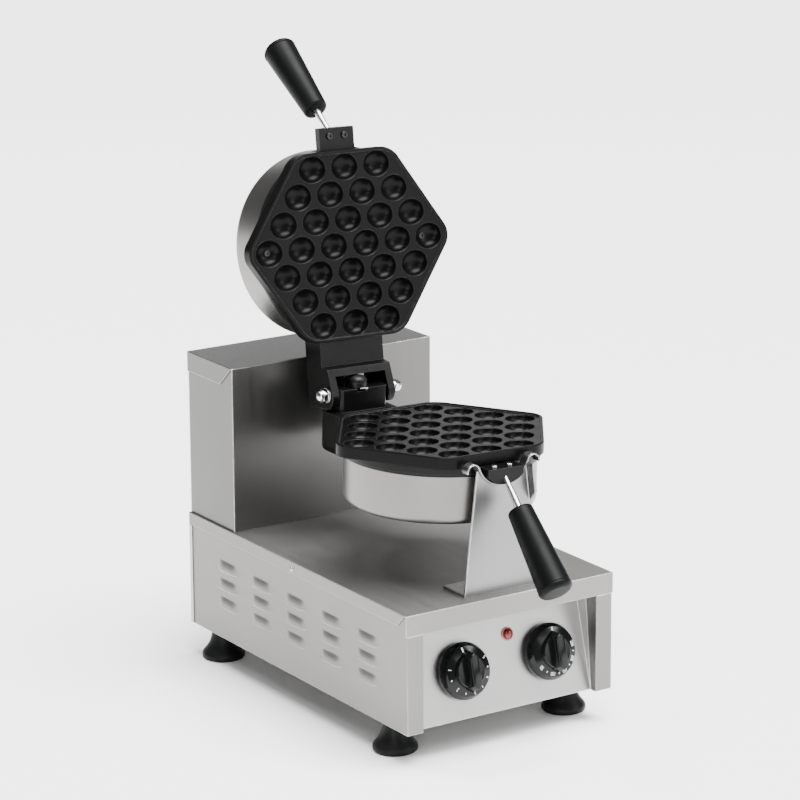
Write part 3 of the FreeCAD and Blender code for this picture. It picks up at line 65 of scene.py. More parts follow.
class Axis(Enum):
    """Directions of the machine, with a turn that lays the local Z along each."""

    X = "x"
    Y = "y"
    Z = "z"

    @property
    def turn(self) -> Matrix:
        """Rotation that carries the local Z onto this axis."""
        turns = {
            Axis.X: Matrix.Rotation(math.pi / 2, 4, "Y"),
            Axis.Y: Matrix.Rotation(-math.pi / 2, 4, "X"),
            Axis.Z: Matrix.Identity(4),
        }
        return turns[self]


class Side(Enum):
    """Left and right of the machine, as the sign of X."""

    LEFT = -1
    RIGHT = 1

    @property
    def label(self) -> str:
        """Lower case name of the side."""
        return self.name.lower()

    @property
    def mirror(self) -> Matrix:
        """Reflection that carries the right side onto this one."""
        return Matrix.Diagonal((self.value, 1, 1, 1))


@dataclass(frozen=True)
class Layout:
    """Places of the base, the rolling pans and the lid that hinges on them, in millimetres."""

    front_to_centre: float = 184.0
    axis_height: float = 298.9
    rest_roll: float = 1.58
    pin_inset: float = 277.6
    pin_lift: float = 5.3
    lid_opening: float = 99.2
    plate_inset: float = 124.6
    panel_foot_inset: float = 8.5
    foot_height: float = 34.6
    panel_tilt: float = 15.16

    @property
    def base(self) -> Matrix:
        """Frame of the base: X across, Y behind the front face, Z above the floor."""
        return Matrix.Scale(MM, 4) @ at(0, -self.front_to_centre, 0)

    @property
    def pans(self) -> Matrix:
        """Frame of the pans, its origin on the roll axis."""
        roll = Matrix.Rotation(math.radians(self.rest_roll), 4, "Y")
        return self.base @ at(0, 0, self.axis_height) @ roll

    @property
    def lid(self) -> Matrix:
        """Frame of the open lid, in the numbers of the closed one.

        Returns:
            Frame that falls on the one of the pans when the lid is closed.
        """
        swing = Matrix.Rotation(math.radians(-self.lid_opening), 4, "X")
        to_pin, from_pin = at(0, self.pin_inset, self.pin_lift), at(0, -self.pin_inset, -self.pin_lift)
        return self.pans @ to_pin @ swing @ from_pin

    def panel(self, across: float, up: float) -> Matrix:
        """Frame on the face of the sloping control panel.

        Args:
            across: distance to the right of the middle.
            up: distance from the foot of the panel, along its face.

        Returns:
            Frame with its Z out of the panel and its Y up the face.
        """
        tilt = math.radians(self.panel_tilt)
        inset = self.panel_foot_inset + up * math.sin(tilt)
        level = self.foot_height + up * math.cos(tilt)
        return self.base @ at(across, inset, level) @ Matrix.Rotation(math.pi / 2 - tilt, 4, "X")


LAYOUT = Layout()


class Level(Enum):
    """Lower pan and the upper one, the lid, as the side of their joint plane that each is on."""

    LOWER = -1
    UPPER = 1

    @property
    def label(self) -> str:
        """Lower case name of the pan."""
        return self.name.lower()

    @property
    def body(self) -> str:
        """Body that carries the pan."""
        return "lid" if self is Level.UPPER else "pans"

    @property
    def frame(self) -> Matrix:
        """Frame of the pan, in the numbers of the closed pair."""
        return LAYOUT.lid if self is Level.UPPER else LAYOUT.pans

    @property
    def middle(self) -> Matrix:
        """Frame in the middle of the pan, its Z towards the other pan."""
        centre = self.frame @ at(0, LAYOUT.plate_inset, 0)
        return centre @ UPSIDE_DOWN if self is Level.UPPER else centre


class Blend(Enum):
    """Ways in which two factors of a finish become one."""

    SUM = "ADD"
    PRODUCT = "MULTIPLY"


class Rounding(Enum):
    """What a rounding runs along: edges, or the corners of a flat face."""

    EDGES = "EDGES"
    CORNERS = "VERTICES"


@dataclass(frozen=True)
class EdgeWearAndHighlight:
    """Rounded edges, their radius in metres, lightened in patches to another tone, as rubbed coat and as a
    painted highlight.

    The lightening is full where the cosine between rounded and true surface is full_at, and gone at none_at.
    """

    radius: float
    tone: Colour
    share: float
    samples: int = 6
    full_at: float = 0.85
    none_at: float = 0.985
    patch_scale: float = 160.0
    patch_detail: float = 4.0
    least: float = 0.35


class Bench:
    """Node tree of one material, with the few nodes that the finishes share."""

    def __init__(self, name: str) -> None:
        """Starts a material with a principled shader.

        Args:
            name: name of the material.
        """
        self.material = bpy.data.materials.new(name)
        self.material.use_nodes = True
        self.tree = self.material.node_tree
        self.tree.nodes.clear()
        self.shader = self.tree.nodes.new("ShaderNodeBsdfPrincipled")
        output = self.tree.nodes.new("ShaderNodeOutputMaterial")
        self.link(self.shader.outputs["BSDF"], output.inputs["Surface"])
        self.coordinates = self.tree.nodes.new("ShaderNodeTexCoord").outputs["Object"]

    def link(self, source: Socket, target: Socket) -> None:
        """Joins an output to an input."""
        self.tree.links.new(source, target)

    def set(self, **values: object) -> None:
        """Sets inputs of the shader, an underscore in a name standing for a space."""
        for name, value in values.items():
            self.shader.inputs[name.replace("_", " ")].default_value = value

    def stretched(self, scale: Place) -> Socket:
        """Object coordinates with their own scale along each axis.

        Args:
            scale: factor along X, Y and Z.

        Returns:
            Vector output of the mapping.
        """
        mapping = self.tree.nodes.new("ShaderNodeMapping")
        mapping.inputs["Scale"].default_value = scale
        self.link(self.coordinates, mapping.inputs["Vector"])
        return mapping.outputs["Vector"]

    def noise(
        self, scale: float, detail: float = 3.0, roughness: float = 0.5, source: Optional[Socket] = None
    ) -> Socket:
        """Noise over the piece.

        Args:
            scale: features to the metre.
            detail: number of finer layers.
            roughness: strength of the finer layers.
            source: coordinates, those of the object where none are given.

        Returns:
            Factor output of the noise.
        """
        noise = self.tree.nodes.new("ShaderNodeTexNoise")
        noise.inputs["Scale"].default_value = scale
        noise.inputs["Detail"].default_value = detail
        noise.inputs["Roughness"].default_value = roughness
        self.link(source or self.coordinates, noise.inputs["Vector"])
        return noise.outputs["Fac"]

    def span(
        self, source: Socket, low: float, high: float, start: float = NOISE_LOW, end: float = NOISE_HIGH
    ) -> Socket:
        """Brings a factor into a range.

        Args:
            source: factor to read.
            low: value given at the start.
            high: value given at the end.
            start: factor at which the range starts.
            end: factor at which it ends.

        Returns:
            Result output.
        """
        node = self.tree.nodes.new("ShaderNodeMapRange")
        node.inputs["From Min"].default_value = start
        node.inputs["From Max"].default_value = end
        node.inputs["To Min"].default_value = low
        node.inputs["To Max"].default_value = high
        self.link(source, node.inputs["Value"])
        return node.outputs["Result"]

    def tint(self, source: Socket, dark: Colour, light: Colour) -> Socket:
        """Colour that runs between two tones over the usual range of a noise.

        Args:
            source: factor to read.
            dark: colour at the low end.
            light: colour at the high end.

        Returns:
            Colour output of the ramp.
        """
        ramp = self.tree.nodes.new("ShaderNodeValToRGB")
        first, last = ramp.color_ramp.elements
        first.position, last.position = NOISE_LOW, NOISE_HIGH
        first.color = (*dark, 1)
        last.color = (*light, 1)
        self.link(source, ramp.inputs["Fac"])
        return ramp.outputs["Color"]

    def combined(self, blend: Blend, first: Socket, second: Socket) -> Socket:
        """Two factors made one.

        Args:
            blend: how they are made one.
            first: first factor.
            second: second factor.

        Returns:
            Value output of the sum or product.
        """
        node = self.tree.nodes.new("ShaderNodeMath")
        node.operation = blend.value
        self.link(first, node.inputs[0])
        self.link(second, node.inputs[1])
        return node.outputs[0]

    def relief(self, height: Socket, strength: float, depth: float) -> None:
        """Bump on the shader's normal, over any that is there already.

        Args:
            height: factor that gives the height.
            strength: share of the bump that shows.
            depth: height of the relief in metres.
        """
        bump = self.tree.nodes.new("ShaderNodeBump")
        bump.inputs["Strength"].default_value = strength
        bump.inputs["Distance"].default_value = depth
        self.link(height, bump.inputs["Height"])
        normal = self.shader.inputs["Normal"]
        if normal.links:
            self.link(normal.links[0].from_socket, bump.inputs["Normal"])
        self.link(bump.outputs["Normal"], normal)

    def worn_and_highlighted_edges(self, edge_wear_and_highlight: EdgeWearAndHighlight) -> None:
        """Rounds the edges in the shading, and lightens the colour along them, as wear and as a painted
        highlight.

        Args:
            edge_wear_and_highlight: size and tone of the edges, worn and painted with a highlight.
        """
        nodes = self.tree.nodes
        rounding = nodes.new("ShaderNodeBevel")
        rounding.samples = edge_wear_and_highlight.samples
        rounding.inputs["Radius"].default_value = edge_wear_and_highlight.radius
        facing = nodes.new("ShaderNodeVectorMath")
        facing.operation = "DOT_PRODUCT"
        self.link(rounding.outputs["Normal"], facing.inputs[0])
        self.link(nodes.new("ShaderNodeNewGeometry").outputs["Normal"], facing.inputs[1])
        edges = self.span(facing.outputs["Value"], edge_wear_and_highlight.share, 0.0, edge_wear_and_highlight.full_at, edge_wear_and_highlight.none_at)
        patches = self.span(self.noise(edge_wear_and_highlight.patch_scale, edge_wear_and_highlight.patch_detail), edge_wear_and_highlight.least, 1.0)
        # Mixes the lighter edge tone into the colour: rubbed coat, and a painted highlight along the edges.
        mix = nodes.new("ShaderNodeMix")
        mix.data_type = "RGBA"
        factor, kept, rubbed_and_highlit = mix.inputs[0], mix.inputs[6], mix.inputs[7]
        colour = self.shader.inputs["Base Color"]
        self.link(self.combined(Blend.PRODUCT, edges, patches), factor)
        self.link(colour.links[0].from_socket, kept)
        rubbed_and_highlit.default_value = (*edge_wear_and_highlight.tone, 1)
        self.link(mix.outputs[2], colour)
        self.link(rounding.outputs["Normal"], self.shader.inputs["Normal"])


@dataclass(frozen=True)
class Finish:
    """Surface of one kind and the slot of the record that it dresses."""

    name: str
    slot: str
    dark: Colour
    light: Colour
    roughness: Point

    def material(self) -> bpy.types.Material:
        """Material of this finish, made the first time it is asked for.

        Returns:
            The material.
        """
        known = bpy.data.materials.get(self.name)
        if known:
            return known
        bench = Bench(self.name)
        self.lay(bench)
        return bench.material

    def lay(self, bench: Bench) -> None:
        """Lays the finish on a bench.

        Args:
            bench: node tree to fill.
        """
        patches = bench.noise(scale=9.0, detail=4.0)
        bench.link(bench.tint(patches, self.dark, self.light), bench.shader.inputs["Base Color"])
        bench.link(bench.span(bench.noise(scale=45.0), *self.roughness), bench.shader.inputs["Roughness"])


@dataclass(frozen=True)
class BrushedSteel(Finish):
    """Stainless sheet with a fine straight grain, its pitch to the metre, a soft sheen and a painted
    highlight along its edges.
    """

    grain: Axis = Axis.Y
    pitch: float = 2600.0
    along_grain: float = 0.012
    wide_band: float = 9.0
    depth: float = 0.00004
    # Near-white edge tone: a painted highlight along the sheet edges.
    edge_wear_and_highlight: EdgeWearAndHighlight = EdgeWearAndHighlight(radius=0.0016, tone=(0.90, 0.90, 0.89), share=0.9)

    def lay(self, bench: Bench) -> None:
        """Lays a straight grain along one axis over slow changes of tone.

        Args:
            bench: node tree to fill.
        """
        scale = tuple(self.along_grain if axis is self.grain else 1.0 for axis in Axis)
        lines = bench.noise(self.pitch, detail=2.0, roughness=0.6, source=bench.stretched(scale))
        bands = bench.noise(self.pitch / self.wide_band, detail=2.0, source=bench.stretched(scale))
        patches = bench.noise(scale=5.5, roughness=0.45)
        bench.link(bench.tint(patches, self.dark, self.light), bench.shader.inputs["Base Color"])
        fine, broad = bench.span(lines, *self.roughness), bench.span(bands, low=-0.02, high=0.03)
        gloss = bench.combined(Blend.SUM, fine, broad)
        bench.link(gloss, bench.shader.inputs["Roughness"])
        # Painted highlight along the edges, mixed into the colour.
        bench.worn_and_highlighted_edges(self.edge_wear_and_highlight)
        bench.relief(lines, strength=0.25, depth=self.depth)
        bench.set(Metallic=1.0)


@dataclass(frozen=True)
class TurnedSteel(Finish):
    """Plain bright or satin metal of turned and bent parts."""

    def lay(self, bench: Bench) -> None:
        """Lays a fine mottled sheen on metal.

        Args:
            bench: node tree to fill.
        """
        super().lay(bench)
        bench.relief(bench.noise(scale=900.0, detail=2.0), strength=0.12, depth=0.00003)
        bench.set(Metallic=1.0)


@dataclass(frozen=True)
class CoatedCasting(Finish):
    """Cast aluminium under a black coat, with the fine grain of the casting and edges lightened as rubbed
    coat and as a painted highlight.
    """

    specular: float = 0.5
    grain_scale: float = 1400.0
    grain_depth: float = 0.00006
    # Lighter edge tone: partly rubbed coat, partly a painted highlight along the cast edges.
    edge_wear_and_highlight: EdgeWearAndHighlight = EdgeWearAndHighlight(radius=0.0009, tone=(0.09, 0.09, 0.092), share=0.8)

    def lay(self, bench: Bench) -> None:
        """Lays a fine orange peel and slow changes of gloss, with the edges lightened as wear and as a
        painted highlight.

        Args:
            bench: node tree to fill.
        """
        super().lay(bench)
        # Edges lightened: rubbed coat and a painted highlight.
        bench.worn_and_highlighted_edges(self.edge_wear_and_highlight)
        peel = bench.noise(self.grain_scale, detail=2.0, roughness=0.6)
        bench.relief(peel, strength=0.35, depth=self.grain_depth)
        bench.relief(bench.noise(self.grain_scale / 7), strength=0.15, depth=self.grain_depth * 2)
        bench.set(Specular_IOR_Level=self.specular)


@dataclass(frozen=True)
class Moulded(Finish):
    """Moulded plastic or rubber with a faint texture."""

    texture: float = 0.15
    specular: float = 0.5

    def lay(self, bench: Bench) -> None:
        """Lays a fine moulded texture.

        Args:
            bench: node tree to fill.
        """
        super().lay(bench)
        bench.relief(bench.noise(scale=2200.0, detail=2.0), strength=self.texture, depth=0.00004)
        bench.set(Specular_IOR_Level=self.specular)


@dataclass(frozen=True)
class Lens(Finish):
    """Clear coloured plastic of the indicator lamp."""

    def lay(self, bench: Bench) -> None:
        """Lays a glossy, slightly see-through colour.

        Args:
            bench: node tree to fill.
        """
        super().lay(bench)
        bench.set(Coat_Weight=0.3, Coat_Roughness=0.08)
        bench.set(Emission_Strength=0.02, Emission_Color=(0.8, 0.02, 0.02, 1))


# Copies of one brushed sheet, each toned to paint the light on its panels: the top cover and the cross panels
# lighter as painted light, the side walls, tray and tower sheets darker as painted shade.
SHEET_ALONG_PAINTED_SHADE = BrushedSteel(
    "brushed_sheet_along_painted_shade", "sheet_steel", (0.172, 0.169, 0.163), (0.198, 0.195, 0.189), (0.34, 0.42), Axis.Y
)
SHEET_TOP_PAINTED_LIGHT = BrushedSteel(
    "brushed_sheet_top_painted_light", "sheet_steel", (0.215, 0.210, 0.202), (0.245, 0.240, 0.232), (0.44, 0.52), Axis.Y
)
SHEET_ACROSS_PAINTED_LIGHT = BrushedSteel(
    "brushed_sheet_across_painted_light", "sheet_steel", (0.40, 0.395, 0.39), (0.44, 0.435, 0.43), (0.34, 0.42), Axis.X
)
SHEET_UPRIGHT_PAINTED_SHADE = BrushedSteel(
    "brushed_sheet_upright_painted_shade", "sheet_steel", (0.105, 0.103, 0.101), (0.125, 0.123, 0.120), (0.30, 0.37), Axis.Z
)
CRADLE_STEEL = BrushedSteel(
    "brushed_cradle_sheet", "sheet_steel", (0.21, 0.21, 0.212), (0.245, 0.245, 0.247), (0.28, 0.36), Axis.Z
)
DRUM_STEEL = BrushedSteel(
    "satin_drum_steel", "drum_steel", (0.165, 0.161, 0.155), (0.20, 0.196, 0.188), (0.30, 0.38),
    grain=Axis.X, depth=0.00003,
)
ROD_STEEL = BrushedSteel(
    "brushed_rod_steel", "shaft_steel", (0.50, 0.50, 0.50), (0.58, 0.58, 0.58), (0.22, 0.30), Axis.Z
)
NON_STICK = CoatedCasting(
    "non_stick_coat", "coated_casting", (0.0015, 0.0015, 0.0016), (0.003, 0.003, 0.0031), (0.27, 0.33), 0.075
)
BLACK_CAST = CoatedCasting(
    "black_cast_coat", "black_casting", (0.0015, 0.0015, 0.0016), (0.003, 0.003, 0.0031), (0.28, 0.38), 0.13
)
GRIP_BLACK = Moulded(
    "phenolic_grip", "handle_black", (0.0014, 0.0016, 0.0016), (0.0026, 0.0029, 0.0029), (0.42, 0.50),
    texture=0.3, specular=0.08,
)
DIAL_BLACK = Moulded(
    "gloss_dial", "dial_black", (0.0025, 0.003, 0.003), (0.004, 0.0045, 0.0045), (0.12, 0.18),
    texture=0.05, specular=0.22,
)
RUBBER = Moulded(
    "foot_rubber_black", "foot_rubber", (0.003, 0.0032, 0.0035), (0.006, 0.0062, 0.0065), (0.40, 0.55),
    texture=0.3, specular=0.16,
)
FITTING = Moulded(
    "gland_nylon", "black_fitting", (0.003, 0.003, 0.003), (0.006, 0.006, 0.006), (0.36, 0.48), specular=0.2
)
SWITCH = Moulded("switch_plastic_grey", "switch_plastic", (0.10, 0.10, 0.11), (0.14, 0.14, 0.15), (0.45, 0.6))
SCALE_WHITE = Moulded(
    "scale_print_white", "dial_black", (0.68, 0.68, 0.67), (0.80, 0.80, 0.79), (0.45, 0.55), texture=0.1
)
WOOL = Moulded(
    "mineral_wool", "insulation_wool", (0.42, 0.38, 0.28), (0.55, 0.50, 0.38), (0.85, 0.95), texture=0.9
)
LAMP_RED = Lens("lamp_lens_red", "lamp_red", (0.10, 0.001, 0.002), (0.16, 0.002, 0.004), (0.12, 0.20))
LAMP_RIM = Lens("lamp_rim_pink", "lamp_red", (0.32, 0.10, 0.095), (0.42, 0.16, 0.15), (0.25, 0.35))
BRIGHT = TurnedSteel(
    "bright_zinc_steel", "bright_fastener", (0.50, 0.50, 0.50), (0.60, 0.60, 0.60), (0.16, 0.26)
)
POLISHED = TurnedSteel(
    "polished_dome_steel", "bright_fastener", (0.62, 0.62, 0.62), (0.72, 0.72, 0.72), (0.08, 0.16)
)
DARK_SCREW = TurnedSteel(
    "blackened_screw_steel", "dark_fastener", (0.02, 0.02, 0.021), (0.04, 0.04, 0.041), (0.30, 0.42)
)
SHAFT = TurnedSteel("ground_shaft_steel", "shaft_steel", (0.34, 0.34, 0.34), (0.40, 0.40, 0.40), (0.20, 0.30))
BRONZE = TurnedSteel(
    "sintered_bronze", "bush_bronze", (0.10, 0.088, 0.074), (0.13, 0.115, 0.098), (0.34, 0.46)
)
PLATE = TurnedSteel("zinc_plate_steel", "plate_steel", (0.32, 0.32, 0.32), (0.40, 0.40, 0.40), (0.34, 0.46))
HEATER = TurnedSteel("heater_tube", "heater_ring", (0.16, 0.14, 0.13), (0.22, 0.20, 0.18), (0.42, 0.56))


class Form:
    """Mesh in the making, in the millimetres of one frame."""

    def __init__(self) -> None:
        """Starts an empty form."""
        self.mesh = bmesh.new()

    def joined(self, *others: "Form") -> "Form":
        """Takes other forms in.

        Args:
            others: forms to add, emptied by this.

        Returns:
            This form.
        """
        for other in others:
            store = bpy.data.meshes.new("join")
            other.mesh.to_mesh(store)
            other.mesh.free()
            self.mesh.from_mesh(store)
            bpy.data.meshes.remove(store)
        return self

    def moved(self, matrix: Matrix) -> "Form":
        """Carries the whole form by a matrix and keeps its faces outward.

        Args:
            matrix: change of place, turn, size or hand.

        Returns:
            This form.
        """
        bmesh.ops.transform(self.mesh, matrix=matrix, verts=self.mesh.verts)
        if matrix.determinant() < 0:
            bmesh.ops.reverse_faces(self.mesh, faces=self.mesh.faces)
        return self

    def copy(self) -> "Form":
        """Second form of the same shape.

        Returns:
            The second form.
        """
        twin = Form()
        twin.mesh.free()
        twin.mesh = self.mesh.copy()
        return twin

    def welded(self) -> "Form":
        """Merges vertices that meet and turns the faces outward.

        Returns:
            This form.
        """
        bmesh.ops.remove_doubles(self.mesh, verts=self.mesh.verts, dist=WELD)
        bmesh.ops.recalc_face_normals(self.mesh, faces=self.mesh.faces)
        return self

    def bevelled(
        self,
        items: Sequence[Item],
        width: float,
        steps: int,
        kind: Rounding = Rounding.EDGES,
        clamp: bool = False,
    ) -> "Form":
        """Rounds chosen edges or corners.

        Args:
            items: edges or vertices to round.
            width: how far the rounding reaches.
            steps: number of faces across the rounding.
            kind: whether the items are edges or corners.
            clamp: whether the rounding stops where it would meet another.

        Returns:
            This form.
        """
        bmesh.ops.bevel(
            self.mesh,
            geom=items,
            offset=width,
            offset_type="OFFSET",
            segments=steps,
            profile=0.5,
            affect=kind.value,
            clamp_overlap=clamp,
            material=-1,
        )
        return self

    def softened(
        self,
        width: float,
        steps: int,
        angle: float,
        chosen: Callable[[bmesh.types.BMEdge], bool] = lambda edge: True,
    ) -> "Form":
        """Rounds the sharp edges.

        Args:
            width: how far the rounding reaches from an edge.
            steps: number of faces across the rounding.
            angle: turn of the surface, in degrees, from which an edge counts as sharp.
            chosen: test that picks among the sharp edges.

        Returns:
            This form.
        """
        limit = math.radians(angle)
        sharp = [
            edge
            for edge in self.mesh.edges
            if len(edge.link_faces) == 2 and edge.calc_face_angle(0) > limit and chosen(edge)
        ]
        return self.bevelled(sharp, width, steps, clamp=True)

    def filled(self, edges: Sequence[bmesh.types.BMEdge]) -> "Form":
        """Fills the flat area between loops of edges with faces that look up.

        Args:
            edges: edges of all the loops.

        Returns:
            This form.
        """
        fill = bmesh.ops.triangle_fill(
            self.mesh, use_beauty=True, use_dissolve=False, edges=edges, normal=(0, 0, 1)
        )
        for item in fill["geom"]:
            if isinstance(item, bmesh.types.BMFace) and item.normal.z < 0:
                item.normal_flip()
        return self

    def holes_filled(self) -> "Form":
        """Closes every open loop with a face."""
        bmesh.ops.holes_fill(self.mesh, edges=self.mesh.edges, sides=0)
        return self


def verts_in(items: Iterable[Item]) -> list[bmesh.types.BMVert]:
    """Vertices among the items that an operator gives back."""
    return [item for item in items if isinstance(item, bmesh.types.BMVert)]


def arc(middle: Point, reach: Point, start: float, end: float, steps: int) -> list[Point]:
    """Points along part of an ellipse.

    Args:
        middle: its centre.
        reach: its half widths, negative where the axis runs the other way.
        start: first angle in degrees.
        end: last angle in degrees.
        steps: number of stretches.

    Returns:
        The points, both ends among them.
    """
    turns = [math.radians(start + (end - start) * step / steps) for step in range(steps + 1)]
    return [(middle[0] + reach[0] * math.cos(turn), middle[1] + reach[1] * math.sin(turn)) for turn in turns]


def turned(profile: Sequence[Point], steps: int, closed: bool = False) -> Form:
    """Solid of revolution about Z.

    Args:
        profile: points of radius and height.
        steps: number of faces round the axis.
        closed: whether the last point joins the first, as in a ring.

    Returns:
        The form, closed where the profile starts and ends on the axis.
    """
    form = Form()
    verts = [form.mesh.verts.new((radius, 0, height)) for radius, height in profile]
    pairs = list(zip(verts, verts[1:])) + ([(verts[-1], verts[0])] if closed else [])
    edges = [form.mesh.edges.new(pair) for pair in pairs]
    bmesh.ops.spin(
        form.mesh,
        geom=[*verts, *edges],
        cent=(0, 0, 0),
        axis=(0, 0, 1),
        angle=math.tau,
        steps=steps,
        use_merge=True,
        use_duplicate=False,
    )
    return form.welded()


def prism(outline: Sequence[Point], low: float, high: float) -> Form:
    """Straight solid over a flat outline in X and Y.

    Args:
        outline: corners of the outline.
        low: height of the lower face.
        high: height of the upper face.

    Returns:
        The form.
    """
    form = Form()
    face = form.mesh.faces.new([form.mesh.verts.new((x, y, low)) for x, y in outline])
    raised = verts_in(bmesh.ops.extrude_face_region(form.mesh, geom=[face])["geom"])
    bmesh.ops.translate(form.mesh, vec=(0, 0, high - low), verts=raised)
    bmesh.ops.recalc_face_normals(form.mesh, faces=form.mesh.faces)
    return form


def block(x: Point, y: Point, z: Point) -> Form:
    """Rectangular solid between limits."""
    return prism([(x[0], y[0]), (x[1], y[0]), (x[1], y[1]), (x[0], y[1])], *z)


def recessed_head(radius: float, height: float, recess: Sequence[Point], depth: float, crown: float) -> Form:
    """Head of a screw with a driver recess, its top at Z zero.

    Args:
        radius: radius of the head.
        height: height of the head.
        recess: outline of the recess.
        depth: depth of the recess.
        crown: rounding of the rim.

    Returns:
        The form.
    """

    def on_rim(edge: bmesh.types.BMEdge) -> bool:
        """Tells whether an edge lies between the top and the side."""
        return all(abs(vert.co.z) < TOUCH and vert.co.xy.length > radius * 0.95 for vert in edge.verts)

    form = Form()
    mesh = form.mesh
    bmesh.ops.create_circle(mesh, segments=32, radius=radius)
    rim_edges = list(mesh.edges)
    mouth = [mesh.verts.new((x, y, 0)) for x, y in recess]
    mouth_edges = [mesh.edges.new(pair) for pair in zip(mouth, mouth[1:] + mouth[:1])]
    form.filled(rim_edges + mouth_edges)
    for edges, drop in ((mouth_edges, -depth), (rim_edges, -height)):
        lower = verts_in(bmesh.ops.extrude_edge_only(mesh, edges=edges)["geom"])
        bmesh.ops.translate(mesh, vec=(0, 0, drop), verts=lower)
    return form.holes_filled().welded().softened(crown, steps=3, angle=60, chosen=on_rim)


def hexagon(across: float) -> list[Point]:
    """Outline of a hexagon by its width across flats.

    Args:
        across: width across flats.

    Returns:
        Its six corners.
    """
    reach = across / math.sqrt(3)
    turns = [math.radians(60 * corner) for corner in range(6)]
    return [(reach * math.cos(turn), reach * math.sin(turn)) for turn in turns]


def cross(length: float, width: float) -> list[Point]:
    """Outline of a cross recess.

    Args:
        length: length of each bar.
        width: width of each bar.

    Returns:
        Its twelve corners.
    """
    tip, half = length / 2, width / 2
    quarter = [(tip, -half), (tip, half), (half, half)]
    points = []
    for cosine, sine in ((1, 0), (0, 1), (-1, 0), (0, -1)):
        points += [(x * cosine - y * sine, x * sine + y * cosine) for x, y in quarter]
    return points


def node_form(node: str) -> Form:
    """Merged copy of a node's mesh, in millimetres of the world.

    Args:
        node: name of the node.

    Returns:
        The form, with flat areas made one face each.
    """
    form = Form()
    form.mesh.from_mesh(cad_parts[node].data)
    bmesh.ops.transform(form.mesh, matrix=Matrix.Scale(1 / MM, 4), verts=form.mesh.verts)
    bmesh.ops.remove_doubles(form.mesh, verts=form.mesh.verts, dist=NODE_WELD)
    bmesh.ops.dissolve_limit(
        form.mesh,
        angle_limit=math.radians(1.0),
        use_dissolve_boundaries=False,
        verts=form.mesh.verts,
        edges=form.mesh.edges,
        delimit={"NORMAL"},
    )
    return form


def finished(
    name: str,
    form: Form,
    matrix: Matrix,
    body: str,
    finish: Finish,
    replaced: Iterable[str] = (),
    smooth: float = 32.0,
    flat: bool = False,
) -> bpy.types.Object:
    """Turns a form into a piece of the machine.

    Args:
        name: name of the piece.
        form: its shape, in millimetres of a frame.
        matrix: that frame.
        body: body that carries it.
        finish: its surface.
        replaced: nodes that it stands for.
        smooth: angle in degrees up to which its faces shade as one.
        flat: whether its large flat faces keep even shading up to their rounded edges.

    Returns:
        The piece.
    """
    form.moved(matrix)
    limit = math.radians(smooth)
    for face in form.mesh.faces:
        face.smooth = True
    for edge in form.mesh.edges:
        edge.smooth = len(edge.link_faces) == 2 and edge.calc_face_angle(0) <= limit
    data = bpy.data.meshes.new(name)
    form.mesh.to_mesh(data)
    form.mesh.free()
    data.materials.append(finish.material())
    piece = bpy.data.objects.new(name, data)
    bpy.context.scene.collection.objects.link(piece)
    if flat:
        even = piece.modifiers.new("even_shading", "WEIGHTED_NORMAL")
        even.mode = "FACE_AREA"
        even.weight = 100
        even.keep_sharp = True
    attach(piece, body)
    if replaced:
        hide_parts(*replaced)
    LOG.info("%s: %d faces on %s", name, len(data.polygons), body)
    return piece


